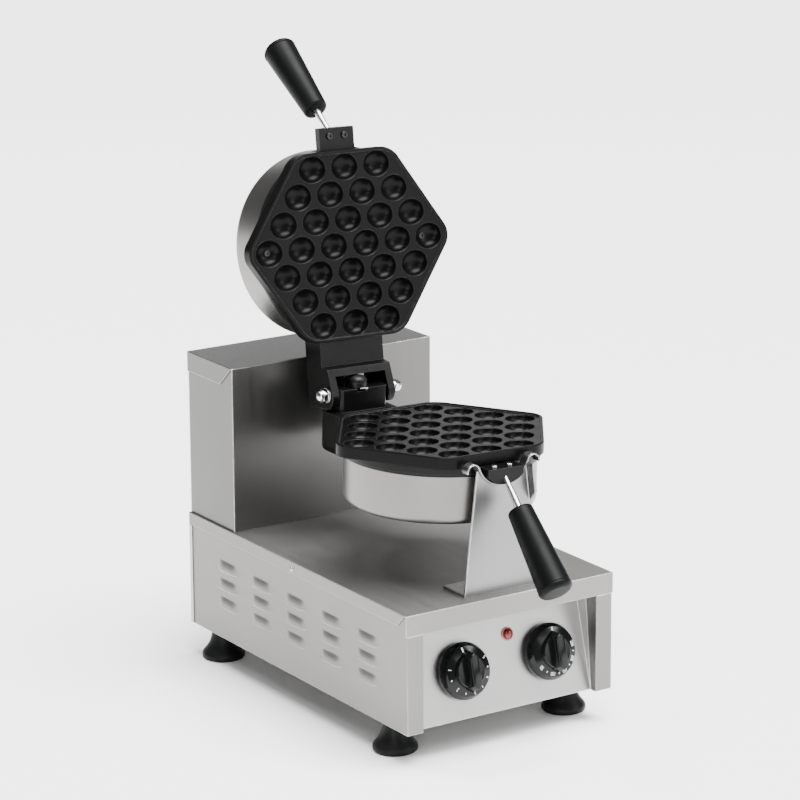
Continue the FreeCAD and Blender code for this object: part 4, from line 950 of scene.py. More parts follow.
@dataclass(frozen=True)
class MouldPlates:
    """Two black coated mould plates, each with thirty oval cavities inside a raised rim."""

    face_gap: float = 0.2
    thickness: float = 12.6
    half_length: float = 126.0
    half_flat: float = 58.0
    half_depth: float = 98.0
    corner_reach: float = 13.0
    corner_steps: int = 8
    rim_width: float = 3.2
    rim_drop: float = 1.6
    rim_round: float = 1.1
    ledge: tuple[Point, ...] = ((0.35, 0.5), (0.25, 0.5), (0.5, 0.0))
    rows: tuple[int, ...] = (3, 4, 5, 6, 5, 4, 3)
    pitch: float = 39.07
    row_pitch: float = 26.93
    cavity_length: float = 31.2
    cavity_width: float = 26.5
    cavity_depth: float = 10.0
    lip: float = 0.9
    lip_profile: tuple[Point, ...] = ((1.062, 0.0), (1.034, 0.1), (1.012, 0.35), (0.996, 0.75))
    screw_side: float = 95.0
    screw_radius: float = 3.5
    screw_rise: float = 1.5
    screw_height: float = 2.5
    socket_across: float = 3.6
    socket_depth: float = 1.2

    def hexagon(self) -> Form:
        """Flat hexagon with rounded corners at the height of the rim.

        Returns:
            The face.
        """
        length, flat, depth = self.half_length, self.half_flat, self.half_depth
        corners = [(length, 0), (flat, depth), (-flat, depth), (-length, 0), (-flat, -depth), (flat, -depth)]
        form = Form()
        form.mesh.faces.new([form.mesh.verts.new((x, y, -self.face_gap)) for x, y in corners])
        return form.bevelled(list(form.mesh.verts), self.corner_reach, self.corner_steps, Rounding.CORNERS)

    def bowl(self) -> Form:
        """One oval cavity with a rolled lip, open at the top.

        Returns:
            The cavity, its mouth at Z zero.
        """
        profile = [(share, -drop * self.lip) for share, drop in self.lip_profile]
        start = profile[-1][1]
        profile += arc((0.0, start), (1.0, -self.cavity_depth - start), 0, 90, 8)[1:-1]
        profile.append((0.0, -self.cavity_depth))
        oval = Matrix.Diagonal((self.cavity_length / 2, self.cavity_width / 2, 1, 1))
        return turned(profile, steps=40).moved(oval)

    def bowls(self, level: float) -> list[Form]:
        """Cavities in their rows, their mouths at one level.

        Args:
            level: height of their mouths.

        Returns:
            One form for each cavity.
        """
        bowl = self.bowl()
        copies = []
        for row, count in enumerate(self.rows):
            along = (row - (len(self.rows) - 1) / 2) * self.row_pitch
            for index in range(count):
                aside = (index - (count - 1) / 2) * self.pitch
                copies.append(bowl.copy().moved(at(aside, along, level)))
        bowl.mesh.free()
        return copies

    def plate(self) -> Form:
        """Plate with its face up, its middle at the origin of X and Y.

        Returns:
            The plate.
        """
        form = self.hexagon()
        mesh = form.mesh
        raised = verts_in(bmesh.ops.extrude_face_region(mesh, geom=list(mesh.faces))["geom"])
        lowered = [vert for vert in mesh.verts if vert not in raised]
        bmesh.ops.translate(mesh, vec=(0, 0, -self.thickness), verts=lowered)
        bmesh.ops.recalc_face_normals(mesh, faces=mesh.faces)
        form.softened(self.rim_round, steps=3, angle=60)
        crown = max((face for face in mesh.faces if face.normal.z > 0.5), key=lambda face: face.calc_area())
        for width, share in ((self.rim_width - self.rim_round, 0.0), *self.ledge):
            drop = -self.rim_drop * share
            bmesh.ops.inset_region(mesh, faces=[crown], thickness=width, depth=drop, use_even_offset=True)
        level = crown.verts[0].co.z
        bmesh.ops.delete(mesh, geom=[crown], context="FACES_ONLY")
        form.joined(*self.bowls(level))
        return form.filled([edge for edge in mesh.edges if len(edge.link_faces) == 1])

    def screws(self) -> Form:
        """Socket heads of the two plate screws, each in the middle of an end cavity.

        Returns:
            Both heads.
        """
        top = -self.face_gap - self.rim_drop - self.cavity_depth + self.screw_rise
        heads = Form()
        for side in Side:
            socket = hexagon(self.socket_across)
            head = recessed_head(self.screw_radius, self.screw_height, socket, self.socket_depth, crown=0.5)
            heads.joined(head.moved(at(side.value * self.screw_side, 0, top)))
        return heads

    def build(self) -> None:
        """Builds both plates and the two screws of each."""
        for level in Level:
            name, place, body = level.label, level.middle, level.body
            plate, screws = [f"{name}_mould_plate"], [f"{name}_mould_screws"]
            finished(f"{name}_mould", self.plate(), place, body, NON_STICK, plate, smooth=40, flat=True)
            finished(f"{name}_mould_screw_heads", self.screws(), place, body, DARK_SCREW, screws)


@dataclass(frozen=True)
class Drums:
    """Round satin covers over the heaters, one behind each mould plate, with the disc's lip round each."""

    start: float = 20.0
    height: float = 53.0
    radius: float = 98.0
    wall: float = 1.0
    corner: float = 8.0
    dish_outer: float = 60.0
    dish_inner: float = 20.0
    dish_slope: float = 1.0
    dish_depth: float = 0.5
    bolt_hole: float = 3.0
    bolt_across: float = 9.9
    bolt_height: float = 2.6
    lip_fit: float = 0.05
    lip_radius: float = 101.9
    lip_overlap: float = 0.2
    lip_depth: float = 2.8
    lip_round: float = 1.0

    def lip(self) -> Form:
        """Cast lip that hangs from the carrier's disc round the open end of the cover.

        Returns:
            The lip, a ring.
        """
        inner, outer, foot = self.radius + self.lip_fit, self.lip_radius, -self.start - self.lip_depth
        top = self.lip_overlap - self.start
        return turned([
            (inner, top),
            (outer, top),
            (outer, foot + self.lip_round),
            (outer - 0.3 * self.lip_round, foot + 0.3 * self.lip_round),
            (outer - self.lip_round, foot),
            (inner, foot),
        ], steps=160, closed=True)

    def shell(self) -> Form:
        """Cover with its open end at the top and a shallow dish pressed into its foot.

        Returns:
            The cover with its wall.
        """
        top, foot = -self.start, -self.start - self.height
        middle, inner = (self.radius - self.corner, foot + self.corner), self.corner - self.wall
        profile = [(self.radius - self.wall, top), (self.radius, top)]
        profile += arc(middle, (self.corner, -self.corner), 0, 90, 6)
        profile += [
            (self.dish_outer, foot),
            (self.dish_outer - self.dish_slope, foot + self.dish_depth),
            (self.dish_inner, foot + self.dish_depth),
            (self.dish_inner - self.dish_slope, foot),
            (self.bolt_hole, foot),
            (self.bolt_hole, foot + self.wall),
        ]
        profile += arc(middle, (inner, -inner), 90, 0, 6)
        return turned(profile, steps=160, closed=True)

    def bolt(self) -> Form:
        """Hexagon bolt head below the cover."""
        foot = -self.start - self.height
        head = prism(hexagon(self.bolt_across), foot - self.bolt_height, foot)
        return head.softened(0.4, steps=2, angle=20)

    def build(self) -> None:
        """Builds both covers, their bolts and the lips round them."""
        for level in Level:
            name, place, body = level.label, level.middle, level.body
            finished(f"{name}_drum", self.shell(), place, body, DRUM_STEEL, [f"{name}_drum_cover"])
            finished(f"{name}_bolt_head", self.bolt(), place, body, BRIGHT, [f"{name}_drum_bolt"])
            finished(f"{name}_disc_rim", self.lip(), place, body, BLACK_CAST)


@dataclass(frozen=True)
class Handles:
    """Two tapered grips on brushed rods that lean away from the plates."""

    reach_inset: float = 12.0
    reach_height: float = 22.0
    lean: float = 45.5
    rod_root: float = 8.0
    rod_length: float = 38.0
    rod_start: float = 2.7
    rod_end: float = 3.7
    taper_start: float = 6.0
    taper_end: float = 31.0
    socket: float = 14.0
    grip_length: float = 94.9
    grip_start: float = 13.0
    grip_end: float = 17.8
    mouth_depth: float = 6.0
    mouth_chamfer: float = 0.8
    front_corner: float = 3.0
    corner: float = 5.6
    cap: float = 7.0
    seam_depth: float = 0.35

    def frame(self, level: Level) -> Matrix:
        """Frame with its origin at the lug and its Z along the grip.

        Args:
            level: pan that the handle belongs to.

        Returns:
            The frame in the coordinates of the closed pans.
        """
        lean = Matrix.Rotation(math.radians(90 - level.value * self.lean), 4, "X")
        return at(0, self.reach_inset, level.value * self.reach_height) @ lean

    def rod(self) -> Form:
        """Rod with a short straight neck and a taper.

        Returns:
            The rod along Z.
        """
        return turned([
            (0.0, -self.rod_root),
            (self.rod_start, -self.rod_root),
            (self.rod_start, self.taper_start),
            (self.rod_end, self.taper_end),
            (self.rod_end, self.rod_length + self.socket),
            (0.0, self.rod_length + self.socket),
        ], steps=32)

    def grip(self) -> Form:
        """Tapered grip with rounded ends and a fine joint line near its cap.

        Returns:
            The grip along Z.
        """
        foot, end = self.rod_length, self.rod_length + self.grip_length
        front, back = self.front_corner, self.corner
        profile = [
            (self.rod_end, foot + self.mouth_depth),
            (self.rod_end, foot + 1.0),
            (self.rod_end + self.mouth_chamfer, foot),
        ]
        profile += arc((self.grip_start - front, foot + front), (front, front), -90, 0, 3)
        seam = end - self.cap
        width = self.grip_start + (self.grip_end - self.grip_start) / self.grip_length * (seam - foot)
        groove = width - self.seam_depth
        profile += [(width, seam - 0.5), (groove, seam - 0.2), (groove, seam + 0.2), (width, seam + 0.5)]
        profile += arc((self.grip_end - back, end - back), (back, back), 0, 90, 5)
        profile.append((0.0, end))
        return turned(profile, steps=72)

    def build(self) -> None:
        """Builds a rod and a grip for each plate."""
        for level in Level:
            name, place = level.label, level.frame @ self.frame(level)
            finished(f"{name}_rod", self.rod(), place, level.body, ROD_STEEL, [f"{name}_handle_rod"])
            finished(f"{name}_grip", self.grip(), place, level.body, GRIP_BLACK, [f"{name}_handle_grip"])


@dataclass(frozen=True)
class Feet:
    """Four rubber feet, each a flared sole under a slim waist."""

    height: float = 34.6
    side: float = 103.3
    front_inset: float = 53.6
    rear_inset: float = 388.8
    sole: tuple[Point, ...] = (
        (0.0, 0.0), (19.5, 0.0), (21.5, 0.5), (22.6, 1.8), (23.0, 3.4), (22.9, 5.6), (22.2, 7.2), (20.8, 9.0)
    )
    waist: tuple[Point, ...] = (
        (18.9, 11.2), (17.0, 13.8), (15.2, 17.2), (13.7, 21.4), (12.6, 26.0), (11.9, 30.6)
    )
    neck: float = 11.6

    def foot(self) -> Form:
        """One foot, its sole on the floor."""
        return turned([*self.sole, *self.waist, (self.neck, self.height), (0.0, self.height)], steps=72)

    def build(self) -> None:
        """Builds the four feet."""
        for side in Side:
            for end, inset in (("front", self.front_inset), ("rear", self.rear_inset)):
                name, place = side.label, LAYOUT.base @ at(side.value * self.side, inset, 0)
                finished(f"{end}_{name}_foot", self.foot(), place, "base", RUBBER, [f"foot_{end}_{name}"])


@dataclass(frozen=True)
class SoftenedSheets:
    """Sheet, plate and cast parts whose edges are rounded as folded or cast ones are."""

    parts: tuple[tuple[str, str, str, Finish, float, int], ...] = (
        ("top_cover_sheet", "base_top_cover", "base", SHEET_TOP_PAINTED_LIGHT, 0.45, 2),
        ("rear_wall_sheet", "base_rear_panel", "base", SHEET_ACROSS_PAINTED_LIGHT, 0.4, 2),
        ("bottom_tray_sheet", "base_bottom_plate", "base", SHEET_ALONG_PAINTED_SHADE, 0.35, 1),
        ("control_panel_sheet", "control_panel", "base", SHEET_ACROSS_PAINTED_LIGHT, 0.4, 2),
        ("tower_hood_sheet", "tower_hood", "base", SHEET_UPRIGHT_PAINTED_SHADE, 0.45, 2),
        ("tower_left_sheet", "tower_side_left", "base", SHEET_UPRIGHT_PAINTED_SHADE, 0.35, 1),
        ("tower_right_sheet", "tower_side_right", "base", SHEET_UPRIGHT_PAINTED_SHADE, 0.35, 1),
        ("tower_rear_sheet", "tower_rear_panel", "base", SHEET_ACROSS_PAINTED_LIGHT, 0.35, 1),
        ("cradle_upright", "cradle_plate", "base", CRADLE_STEEL, 0.5, 2),
        ("cradle_bent_strip", "cradle_strip", "base", CRADLE_STEEL, 0.4, 2),
        ("lower_casting", "lower_carrier", "pans", BLACK_CAST, 0.8, 3),
        ("upper_casting", "upper_carrier", "lid", BLACK_CAST, 0.8, 3),
    )

    def build(self) -> None:
        """Builds a softened copy of every part in the table."""
        for name, node, body, finish, width, steps in self.parts:
            form = node_form(node).softened(width, steps=steps, angle=25)
            finished(name, form, Matrix.Scale(MM, 4), body, finish, [node], smooth=50, flat=True)


@dataclass(frozen=True)
class SidePanels:
    """Side walls with three rows of pressed louvres and a folded front post."""

    face: float = 123.8
    depth: float = 418.8
    foot: float = 34.6
    top: float = 156.8
    apron_level: float = 136.5
    wall: float = 1.2
    post_inner: float = 104.5
    return_foot: float = 7.8
    return_top: float = 18.5
    fold: float = 1.0
    least_fold: float = 50.0
    first: float = 72.2
    column_pitch: float = 67.4
    columns: int = 5
    slot_level: float = 110.8
    row_pitch: float = 20.3
    rows: int = 3
    length: float = 38.0
    height: float = 12.0
    bulge: float = 3.3

    def louvre(self, inset: float, level: float) -> Form:
        """Flat patch of one louvre, in a plane of inset and level.

        Args:
            inset: place of its middle behind the front.
            level: height of its slot.

        Returns:
            The patch.
        """
        form = Form()
        place = at(inset, level + self.height / 2, 0) @ Matrix.Diagonal((self.length, self.height, 1, 1))
        bmesh.ops.create_grid(form.mesh, x_segments=20, y_segments=8, size=0.5, matrix=place)
        return form

    def swell(self, along: float, up: float) -> float:
        """How far a louvre stands out of the wall.

        Args:
            along: place along it, from -1 to 1.
            up: place above its slot, from 0 to 1.

        Returns:
            Distance in front of the wall.
        """
        return self.bulge * (1 - along**4) * math.cos(up * math.pi / 2)

    def wall_skin(self) -> Form:
        """Outer skin of the wall, its louvres pressed out along Z.

        Returns:
            The skin, with its inset along X and its height along Y.
        """
        form = Form()
        mesh = form.mesh
        middles = [
            (self.first + self.column_pitch * column, self.slot_level - self.row_pitch * row)
            for column in range(self.columns)
            for row in range(self.rows)
        ]
        form.joined(*(self.louvre(inset, level) for inset, level in middles))
        patch_faces = set(mesh.faces)
        rims = [edge for edge in mesh.edges if len(edge.link_faces) == 1]
        outline = [
            (0, self.foot),
            (0, self.apron_level),
            (self.wall, self.apron_level),
            (self.wall, self.top),
            (self.depth, self.top),
            (self.depth, self.foot),
        ]
        corners = [mesh.verts.new((x, y, 0)) for x, y in outline]
        border = [mesh.edges.new(pair) for pair in zip(corners, corners[1:] + corners[:1])]
        form.filled(rims + border)
        levels = {level for _, level in middles}
        slots = [
            edge
            for edge in rims
            if any(all(abs(vert.co.y - level) < TOUCH for vert in edge.verts) for level in levels)
        ]
        bmesh.ops.split_edges(mesh, edges=slots)
        for inset, level in middles:
            verts = {
                vert
                for face in patch_faces
                if abs(face.calc_center_median().x - inset) < self.length / 2
                and 0 < face.calc_center_median().y - level < self.height
                for vert in face.verts
            }
            for vert in verts:
                along = min(1.0, max(-1.0, 2 * (vert.co.x - inset) / self.length))
                vert.co.z = self.swell(along, (vert.co.y - level) / self.height)
        return form

    def panel(self) -> Form:
        """Whole right panel as one sheet without thickness.

        Returns:
            The outer face of the panel.
        """
        form = self.wall_skin()
        upright = Matrix(((0, 0, 1, self.face), (1, 0, 0, 0), (0, 1, 0, 0), (0, 0, 0, 1)))
        form.moved(upright)
        mesh = form.mesh
        inner, foot, apron = self.post_inner, self.foot, self.apron_level
        post_front = [(self.face, 0, foot), (self.face, 0, apron), (inner, 0, apron), (inner, 0, foot)]
        post_return = [(inner, 0, foot), (inner, 0, apron), (inner, self.return_top, apron)]
        post_return.append((inner, self.return_foot, foot))
        for strip in (post_front, post_return):
            mesh.faces.new([mesh.verts.new(point) for point in strip])
        front = [vert for vert in mesh.verts if abs(vert.co.y) < TOUCH]
        bmesh.ops.remove_doubles(mesh, verts=front, dist=TOUCH)
        folds = [
            edge
            for edge in mesh.edges
            if len(edge.link_faces) == 2
            and all(abs(vert.co.y) < TOUCH for vert in edge.verts)
            and edge.calc_length() > self.least_fold
        ]
        return form.bevelled(folds, self.fold, steps=4)

    def build(self) -> None:
        """Builds both panels, each a sheet of its real thickness."""
        for side in Side:
            name, nodes = f"{side.label}_louvred_wall", [f"side_panel_{side.label}"]
            place = LAYOUT.base @ side.mirror
            panel = finished(name, self.panel(), place, "base", SHEET_ALONG_PAINTED_SHADE, nodes, smooth=60, flat=True)
            sheet = panel.modifiers.new("sheet", "SOLIDIFY")
            sheet.thickness = self.wall * MM
            sheet.offset = -1
            sheet.use_even_offset = True
            panel.modifiers.move(1, 0)


@dataclass(frozen=True)
class Dials:
    """Two glossy dials with a grip bar and a white scale, the timer on the left."""

    spread: float = 52.2
    shift: float = 5.9
    up: float = 48.1
    lift: float = 2.5
    radius: float = 29.0
    rim_level: float = 8.0
    ring_radius: float = 25.2
    ring_level: float = 14.4
    hub_radius: float = 17.0
    hub_foot: float = 15.6
    hub_level: float = 20.0
    bar_length: float = 44.0
    bar_width: float = 15.0
    bar_point: float = 5.0
    bar_level: float = 29.0
    bar_taper: float = 0.66
    scale_radius: float = 22.4
    digit_size: float = 5.4
    digit_squeeze: float = 0.74
    mark_rise: float = 0.06
    timer_scale: tuple[tuple[str, float], ...] = (("1", 283), ("2", 226), ("3", 171), ("4", 116), ("5", 62))
    timer_dots: tuple[float, ...] = (255, 199, 144, 89)
    timer_tick: float = 350
    heat_scale: tuple[tuple[str, float], ...] = (
        ("50", 234), ("100", 195), ("150", 157), ("200", 118), ("250", 79)
    )
    heat_dots: tuple[float, ...] = (214.5, 176, 137, 98.5)
    heat_tick: float = 2
    dot_length: float = 1.7
    dot_width: float = 1.0
    tick_length: float = 5.0
    tick_width: float = 1.6

    @property
    def slope(self) -> float:
        """Fall of the scale ring towards its rim, in radians."""
        return math.atan2(self.hub_foot - self.ring_level, self.ring_radius - self.hub_radius)

    def knob(self) -> Form:
        """Skirt, ring, hub and grip bar.

        Returns:
            The knob along Z.
        """
        profile = [
            (0.0, self.lift),
            (self.radius - 1.2, self.lift),
            (self.radius - 0.35, self.lift + 0.35),
            (self.radius, self.lift + 1.2),
            (self.radius, self.rim_level - 0.6),
            (self.radius - 0.25, self.rim_level + 0.1),
            (self.ring_radius + 0.5, self.ring_level - 0.75),
            (self.ring_radius, self.ring_level - 0.2),
            (self.ring_radius - 0.7, self.ring_level + 0.1),
            (self.hub_radius + 0.8, self.hub_foot - 0.1),
            (self.hub_radius + 0.2, self.hub_foot + 0.1),
            (self.hub_radius, self.hub_foot + 0.6),
            (self.hub_radius - 0.4, self.hub_level - 1.2),
            (self.hub_radius - 0.8, self.hub_level - 0.4),
            (self.hub_radius - 1.6, self.hub_level),
            (0.0, self.hub_level + 0.3),
        ]
        half, length, point = self.bar_width / 2, self.bar_length / 2, self.bar_point
        outline = [
            (-half, point - length),
            (0, -length),
            (half, point - length),
            (half, length - point),
            (0, length),
            (-half, length - point),
        ]
        bar = prism(outline, self.ring_level, self.bar_level)
        for vert in bar.mesh.verts:
            if vert.co.z > self.hub_level:
                vert.co.x *= self.bar_taper
                vert.co.y *= 0.5 + self.bar_taper / 2
        return turned(profile, steps=96).joined(bar.softened(0.9, steps=3, angle=20))

    def on_ring(self, angle: float) -> Matrix:
        """Frame on the scale ring.

        Args:
            angle: clock angle in degrees, from the top of the dial.

        Returns:
            Frame with its Y pointing out along the ring's slope.
        """
        share = (self.scale_radius - self.hub_radius) / (self.ring_radius - self.hub_radius)
        level = self.hub_foot + share * (self.ring_level - self.hub_foot)
        turn = Matrix.Rotation(math.radians(-angle), 4, "Z")
        return turn @ at(0, self.scale_radius, level) @ Matrix.Rotation(-self.slope, 4, "X")

    def number(self, text: str) -> Form:
        """Raised print of a number, its middle at the origin.

        Args:
            text: number to print.

        Returns:
            The print.
        """
        curve = bpy.data.curves.new("dial_number", "FONT")
        curve.body = text
        curve.size = self.digit_size
        curve.align_x, curve.align_y = "CENTER", "CENTER"
        curve.extrude = self.mark_rise
        holder = bpy.data.objects.new("dial_number", curve)
        mesh = bpy.data.meshes.new_from_object(holder)
        form = Form()
        form.mesh.from_mesh(mesh)
        bpy.data.objects.remove(holder)
        bpy.data.curves.remove(curve)
        bpy.data.meshes.remove(mesh)
        return form.moved(Matrix.Diagonal((self.digit_squeeze, 1, 1, 1)))

    def mark(self, length: float, width: float) -> Form:
        """Short printed line along Y."""
        return block((-width / 2, width / 2), (-length / 2, length / 2), (-self.mark_rise, self.mark_rise))

    def scale_print(self, scale: Sequence[tuple[str, float]], dots: Sequence[float], tick: float) -> Form:
        """White print of one dial.

        Args:
            scale: numbers and their clock angles.
            dots: clock angles of the half steps.
            tick: clock angle of the zero line.

        Returns:
            The print as one form.
        """
        form = Form()
        form.joined(*(self.number(text).moved(self.on_ring(angle)) for text, angle in scale))
        for angle in dots:
            form.joined(self.mark(self.dot_length, self.dot_width).moved(self.on_ring(angle)))
        return form.joined(self.mark(self.tick_length, self.tick_width).moved(self.on_ring(tick)))

    def build(self) -> None:
        """Builds both dials, each on its own turning body."""
        for name, across, scale, dots, tick in (
            ("timer", self.shift - self.spread, self.timer_scale, self.timer_dots, self.timer_tick),
            ("thermostat", self.shift + self.spread, self.heat_scale, self.heat_dots, self.heat_tick),
        ):
            place, body = LAYOUT.panel(across, self.up), f"{name}_dial"
            finished(f"{name}_dial", self.knob(), place, body, DIAL_BLACK, [f"{name}_knob"], smooth=24)
            finished(f"{name}_dial_print", self.scale_print(scale, dots, tick), place, body, SCALE_WHITE)


@dataclass(frozen=True)
class Lamp:
    """Red indicator lamp with a flat rim round a low dome."""

    across: float = 14.2
    up: float = 74.1
    radius: float = 7.0
    rim: float = 1.5
    rim_overlap: float = 0.2
    dome_radius: float = 5.7
    dome_foot: float = 1.2
    dome_rise: float = 4.4

    def ring(self) -> Form:
        """Rim with a rounded outer edge.

        Returns:
            The rim along Z.
        """
        inner, lip = self.dome_radius - self.rim_overlap, self.dome_radius + self.rim_overlap
        return turned([
            (inner, 0.0),
            (self.radius, 0.0),
            (self.radius, self.rim - 0.6),
            (self.radius - 0.25, self.rim - 0.15),
            (self.radius - 0.7, self.rim),
            (lip, self.rim),
            (inner, self.rim - 0.4),
        ], steps=48, closed=True)

    def dome(self) -> Form:
        """Dome inside the rim.

        Returns:
            The dome along Z.
        """
        radius = self.dome_radius - self.rim_overlap
        profile = [(0.0, 0.0), (radius, 0.0)]
        profile += arc((0.0, self.dome_foot), (radius, self.dome_rise), 0, 90, 8)[:-1]
        profile.append((0.0, self.dome_foot + self.dome_rise))
        return turned(profile, steps=48)

    def build(self) -> None:
        """Builds the rim and the dome."""
        place = LAYOUT.panel(self.across, self.up)
        finished("lamp_rim", self.ring(), place, "base", LAMP_RIM, ["indicator_lamp_lens"])
        finished("lamp_dome", self.dome(), place, "base", LAMP_RED)


@dataclass(frozen=True)
class Hinge:
    """Hinge bolt with washers and acorn nuts, the capped sleeve between the ears, and the clip before it."""

    pin_radius: float = 4.0
    pin_end: float = 46.4
    pin_chamfer: float = 0.5
    bracket_half: float = 38.8
    washer_radius: float = 8.0
    washer_fit: float = 0.2
    washer_chamfer: float = 0.25
    washer: float = 1.6
    nut_across: float = 13.0
    nut: float = 6.0
    dome: float = 5.5
    dome_collar: float = 0.4
    sleeve_shift: float = -3.0
    sleeve_inset: float = 276.0
    sleeve_foot: float = 11.0
    sleeve_top: float = 23.5
    sleeve_radius: float = 10.4
    sleeve_shoulder: float = 18.2
    sleeve_neck: float = 9.7
    cap_radius: float = 10.2
    clip: tuple[Point, Point, Point] = ((-6.6, 3.0), (264.6, 266.4), (9.8, 11.8))

    def pin(self) -> Form:
        """Bolt with chamfered ends, its middle at the origin.

        Returns:
            The bolt along Z.
        """
        radius, end, chamfer = self.pin_radius, self.pin_end, self.pin_chamfer
        return turned([
            (0.0, -end),
            (radius - chamfer, -end),
            (radius, chamfer - end),
            (radius, end - chamfer),
            (radius - chamfer, end),
            (0.0, end),
        ], steps=32)

    def nut_form(self) -> Form:
        """Hexagon nut with chamfered corners under a polished dome.

        Returns:
            The nut along Z, its foot at Z zero.
        """
        hexagonal = prism(hexagon(self.nut_across), 0, self.nut).softened(0.35, steps=2, angle=20)
        foot, collar = self.nut - self.dome_collar, self.nut + self.dome_collar
        outer = self.nut_across / 2 - 0.3
        profile = [(0.0, foot), (outer + 0.2, foot)]
        profile += arc((0.0, collar), (outer, self.dome - self.dome_collar), 0, 90, 6)[:-1]
        profile.append((0.0, self.nut + self.dome))
        return hexagonal.joined(turned(profile, steps=40))

    def washer_form(self) -> Form:
        """Flat washer with turned edges.

        Returns:
            The washer along Z, its foot at Z zero.
        """
        inner, outer, thick = self.pin_radius + self.washer_fit, self.washer_radius, self.washer
        chamfer = self.washer_chamfer
        return turned([
            (inner, 0.0),
            (outer - chamfer, 0.0),
            (outer, chamfer),
            (outer, thick - chamfer),
            (outer - chamfer, thick),
            (inner, thick),
        ], steps=40, closed=True)

    def sleeve(self) -> Form:
        """Moulded sleeve under a domed cap, clear of the lid as it swings.

        Returns:
            The sleeve with its cap, along Z.
        """
        foot, shoulder = self.sleeve_foot, self.sleeve_shoulder
        profile = [
            (0.0, foot),
            (self.sleeve_radius, foot),
            (self.sleeve_radius, shoulder - 1.6),
            (self.sleeve_neck, shoulder - 1.2),
            (self.sleeve_neck, shoulder - 0.6),
        ]
        profile += arc((0.0, shoulder), (self.cap_radius, self.sleeve_top - shoulder), 0, 90, 6)[:-1]
        profile.append((0.0, self.sleeve_top))
        return turned(profile, steps=48)

    def build(self) -> None:
        """Builds bolt, washers, nuts, sleeve and clip."""
        line = LAYOUT.pans @ at(0, LAYOUT.pin_inset, LAYOUT.pin_lift)
        finished("hinge_bolt", self.pin().moved(Axis.X.turn), line, "pans", BRIGHT, ["hinge_pin"])
        washers, nuts = Form(), Form()
        for side in Side:
            place = side.mirror @ at(self.bracket_half, 0, 0)
            washers.joined(self.washer_form().moved(Axis.X.turn).moved(place))
            nuts.joined(self.nut_form().moved(Axis.X.turn).moved(place @ at(self.washer, 0, 0)))
        finished("hinge_washer_rings", washers, line, "pans", BRIGHT, ["hinge_washers"])
        finished("hinge_acorn_nuts", nuts, line, "pans", POLISHED, ["hinge_nuts"])
        stand = LAYOUT.pans @ at(self.sleeve_shift, self.sleeve_inset, 0)
        finished("lead_sleeve", self.sleeve(), stand, "pans", FITTING, ["lead_bush"])
        clip = block(*self.clip).softened(0.3, steps=2, angle=30)
        finished("knuckle_clip", clip, LAYOUT.pans, "pans", BRIGHT)


@dataclass(frozen=True)
class RollBearing:
    """Bushes, hollow shaft and collar on which the pans roll."""

    front_plate: float = 327.6
    front_end: float = 335.8
    rear_plate: float = 375.8
    rear_end: float = 380.8
    flange: float = 5.0
    flange_radius: float = 27.0
    flange_chamfer: float = 1.0
    groove: tuple[Point, ...] = ((5.0, 0.0), (4.6, 0.5), (4.0, 0.5), (3.6, 0.0))
    bush_radius: float = 18.06
    bush_chamfer: float = 0.8
    shaft_radius: float = 14.0
    fit: float = 0.06
    shaft_bore: float = 9.0
    shaft_start: float = 287.0
    shaft_end: float = 401.2
    shaft_chamfer: float = 1.0
    bore_chamfer: float = 0.6
    collar_radius: float = 22.0
    collar_start: float = 381.2
    collar: float = 12.0
    collar_chamfer: float = 0.8
    screw_radius: float = 3.0
    screw_height: float = 2.0
    screw_depth: float = 1.4
    screw_rise: float = 0.3

    def bush(self, flange_end: float, end: float) -> Form:
        """Bush with a chamfered flange and a turned oil groove.

        Args:
            flange_end: inset of the flange's back.
            end: inset of the bush's end.

        Returns:
            The form along Z.
        """
        inner, outer, start = self.shaft_radius + self.fit, self.flange_radius, flange_end - self.flange
        return turned([
            (inner, start + self.bush_chamfer),
            (inner + self.bush_chamfer, start),
            *((outer - inside, start + depth) for inside, depth in self.groove),
            (outer - self.flange_chamfer, start),
            (outer, start + self.flange_chamfer),
            (outer, flange_end),
            (self.bush_radius, flange_end),
            (self.bush_radius, end),
            (inner, end),
        ], steps=80, closed=True)

    def tube(self) -> Form:
        """Ground tube with a chamfered rear end.

        Returns:
            The tube along Z.
        """
        bore, outer, start, end = self.shaft_bore, self.shaft_radius, self.shaft_start, self.shaft_end
        return turned([
            (bore, start),
            (outer, start),
            (outer, end - self.shaft_chamfer),
            (outer - self.shaft_chamfer, end),
            (bore + self.bore_chamfer, end),
            (bore, end - self.bore_chamfer),
        ], steps=80, closed=True)

    def ring(self) -> Form:
        """Collar with chamfered edges and a set screw.

        Returns:
            The collar with its screw, along Z.
        """
        inner, outer, chamfer = self.shaft_radius, self.collar_radius, self.collar_chamfer
        start, end = self.collar_start, self.collar_start + self.collar
        ring = turned([
            (inner, start),
            (outer - chamfer, start),
            (outer, start + chamfer),
            (outer, end - chamfer),
            (outer - chamfer, end),
            (inner, end),
        ], steps=64, closed=True)
        socket = hexagon(self.screw_radius)
        screw = recessed_head(self.screw_radius, self.screw_height, socket, self.screw_depth, crown=0.3)
        return ring.joined(screw.moved(Axis.X.turn).moved(at(outer + self.screw_rise, 0, (start + end) / 2)))

    def build(self) -> None:
        """Builds both bushes, the shaft and its collar."""
        line = LAYOUT.base @ (at(0, 0, LAYOUT.axis_height) @ Axis.Y.turn)
        for name, plate, end in (
            ("front", self.front_plate, self.front_end),
            ("rear", self.rear_plate, self.rear_end),
        ):
            finished(f"{name}_flanged_bush", self.bush(plate, end), line, "base", BRONZE, [f"{name}_bush"])
        finished("hollow_shaft", self.tube(), LAYOUT.pans @ Axis.Y.turn, "pans", SHAFT, ["roll_shaft"])
        finished("set_collar", self.ring(), LAYOUT.pans @ Axis.Y.turn, "pans", PLATE, ["shaft_collar"])


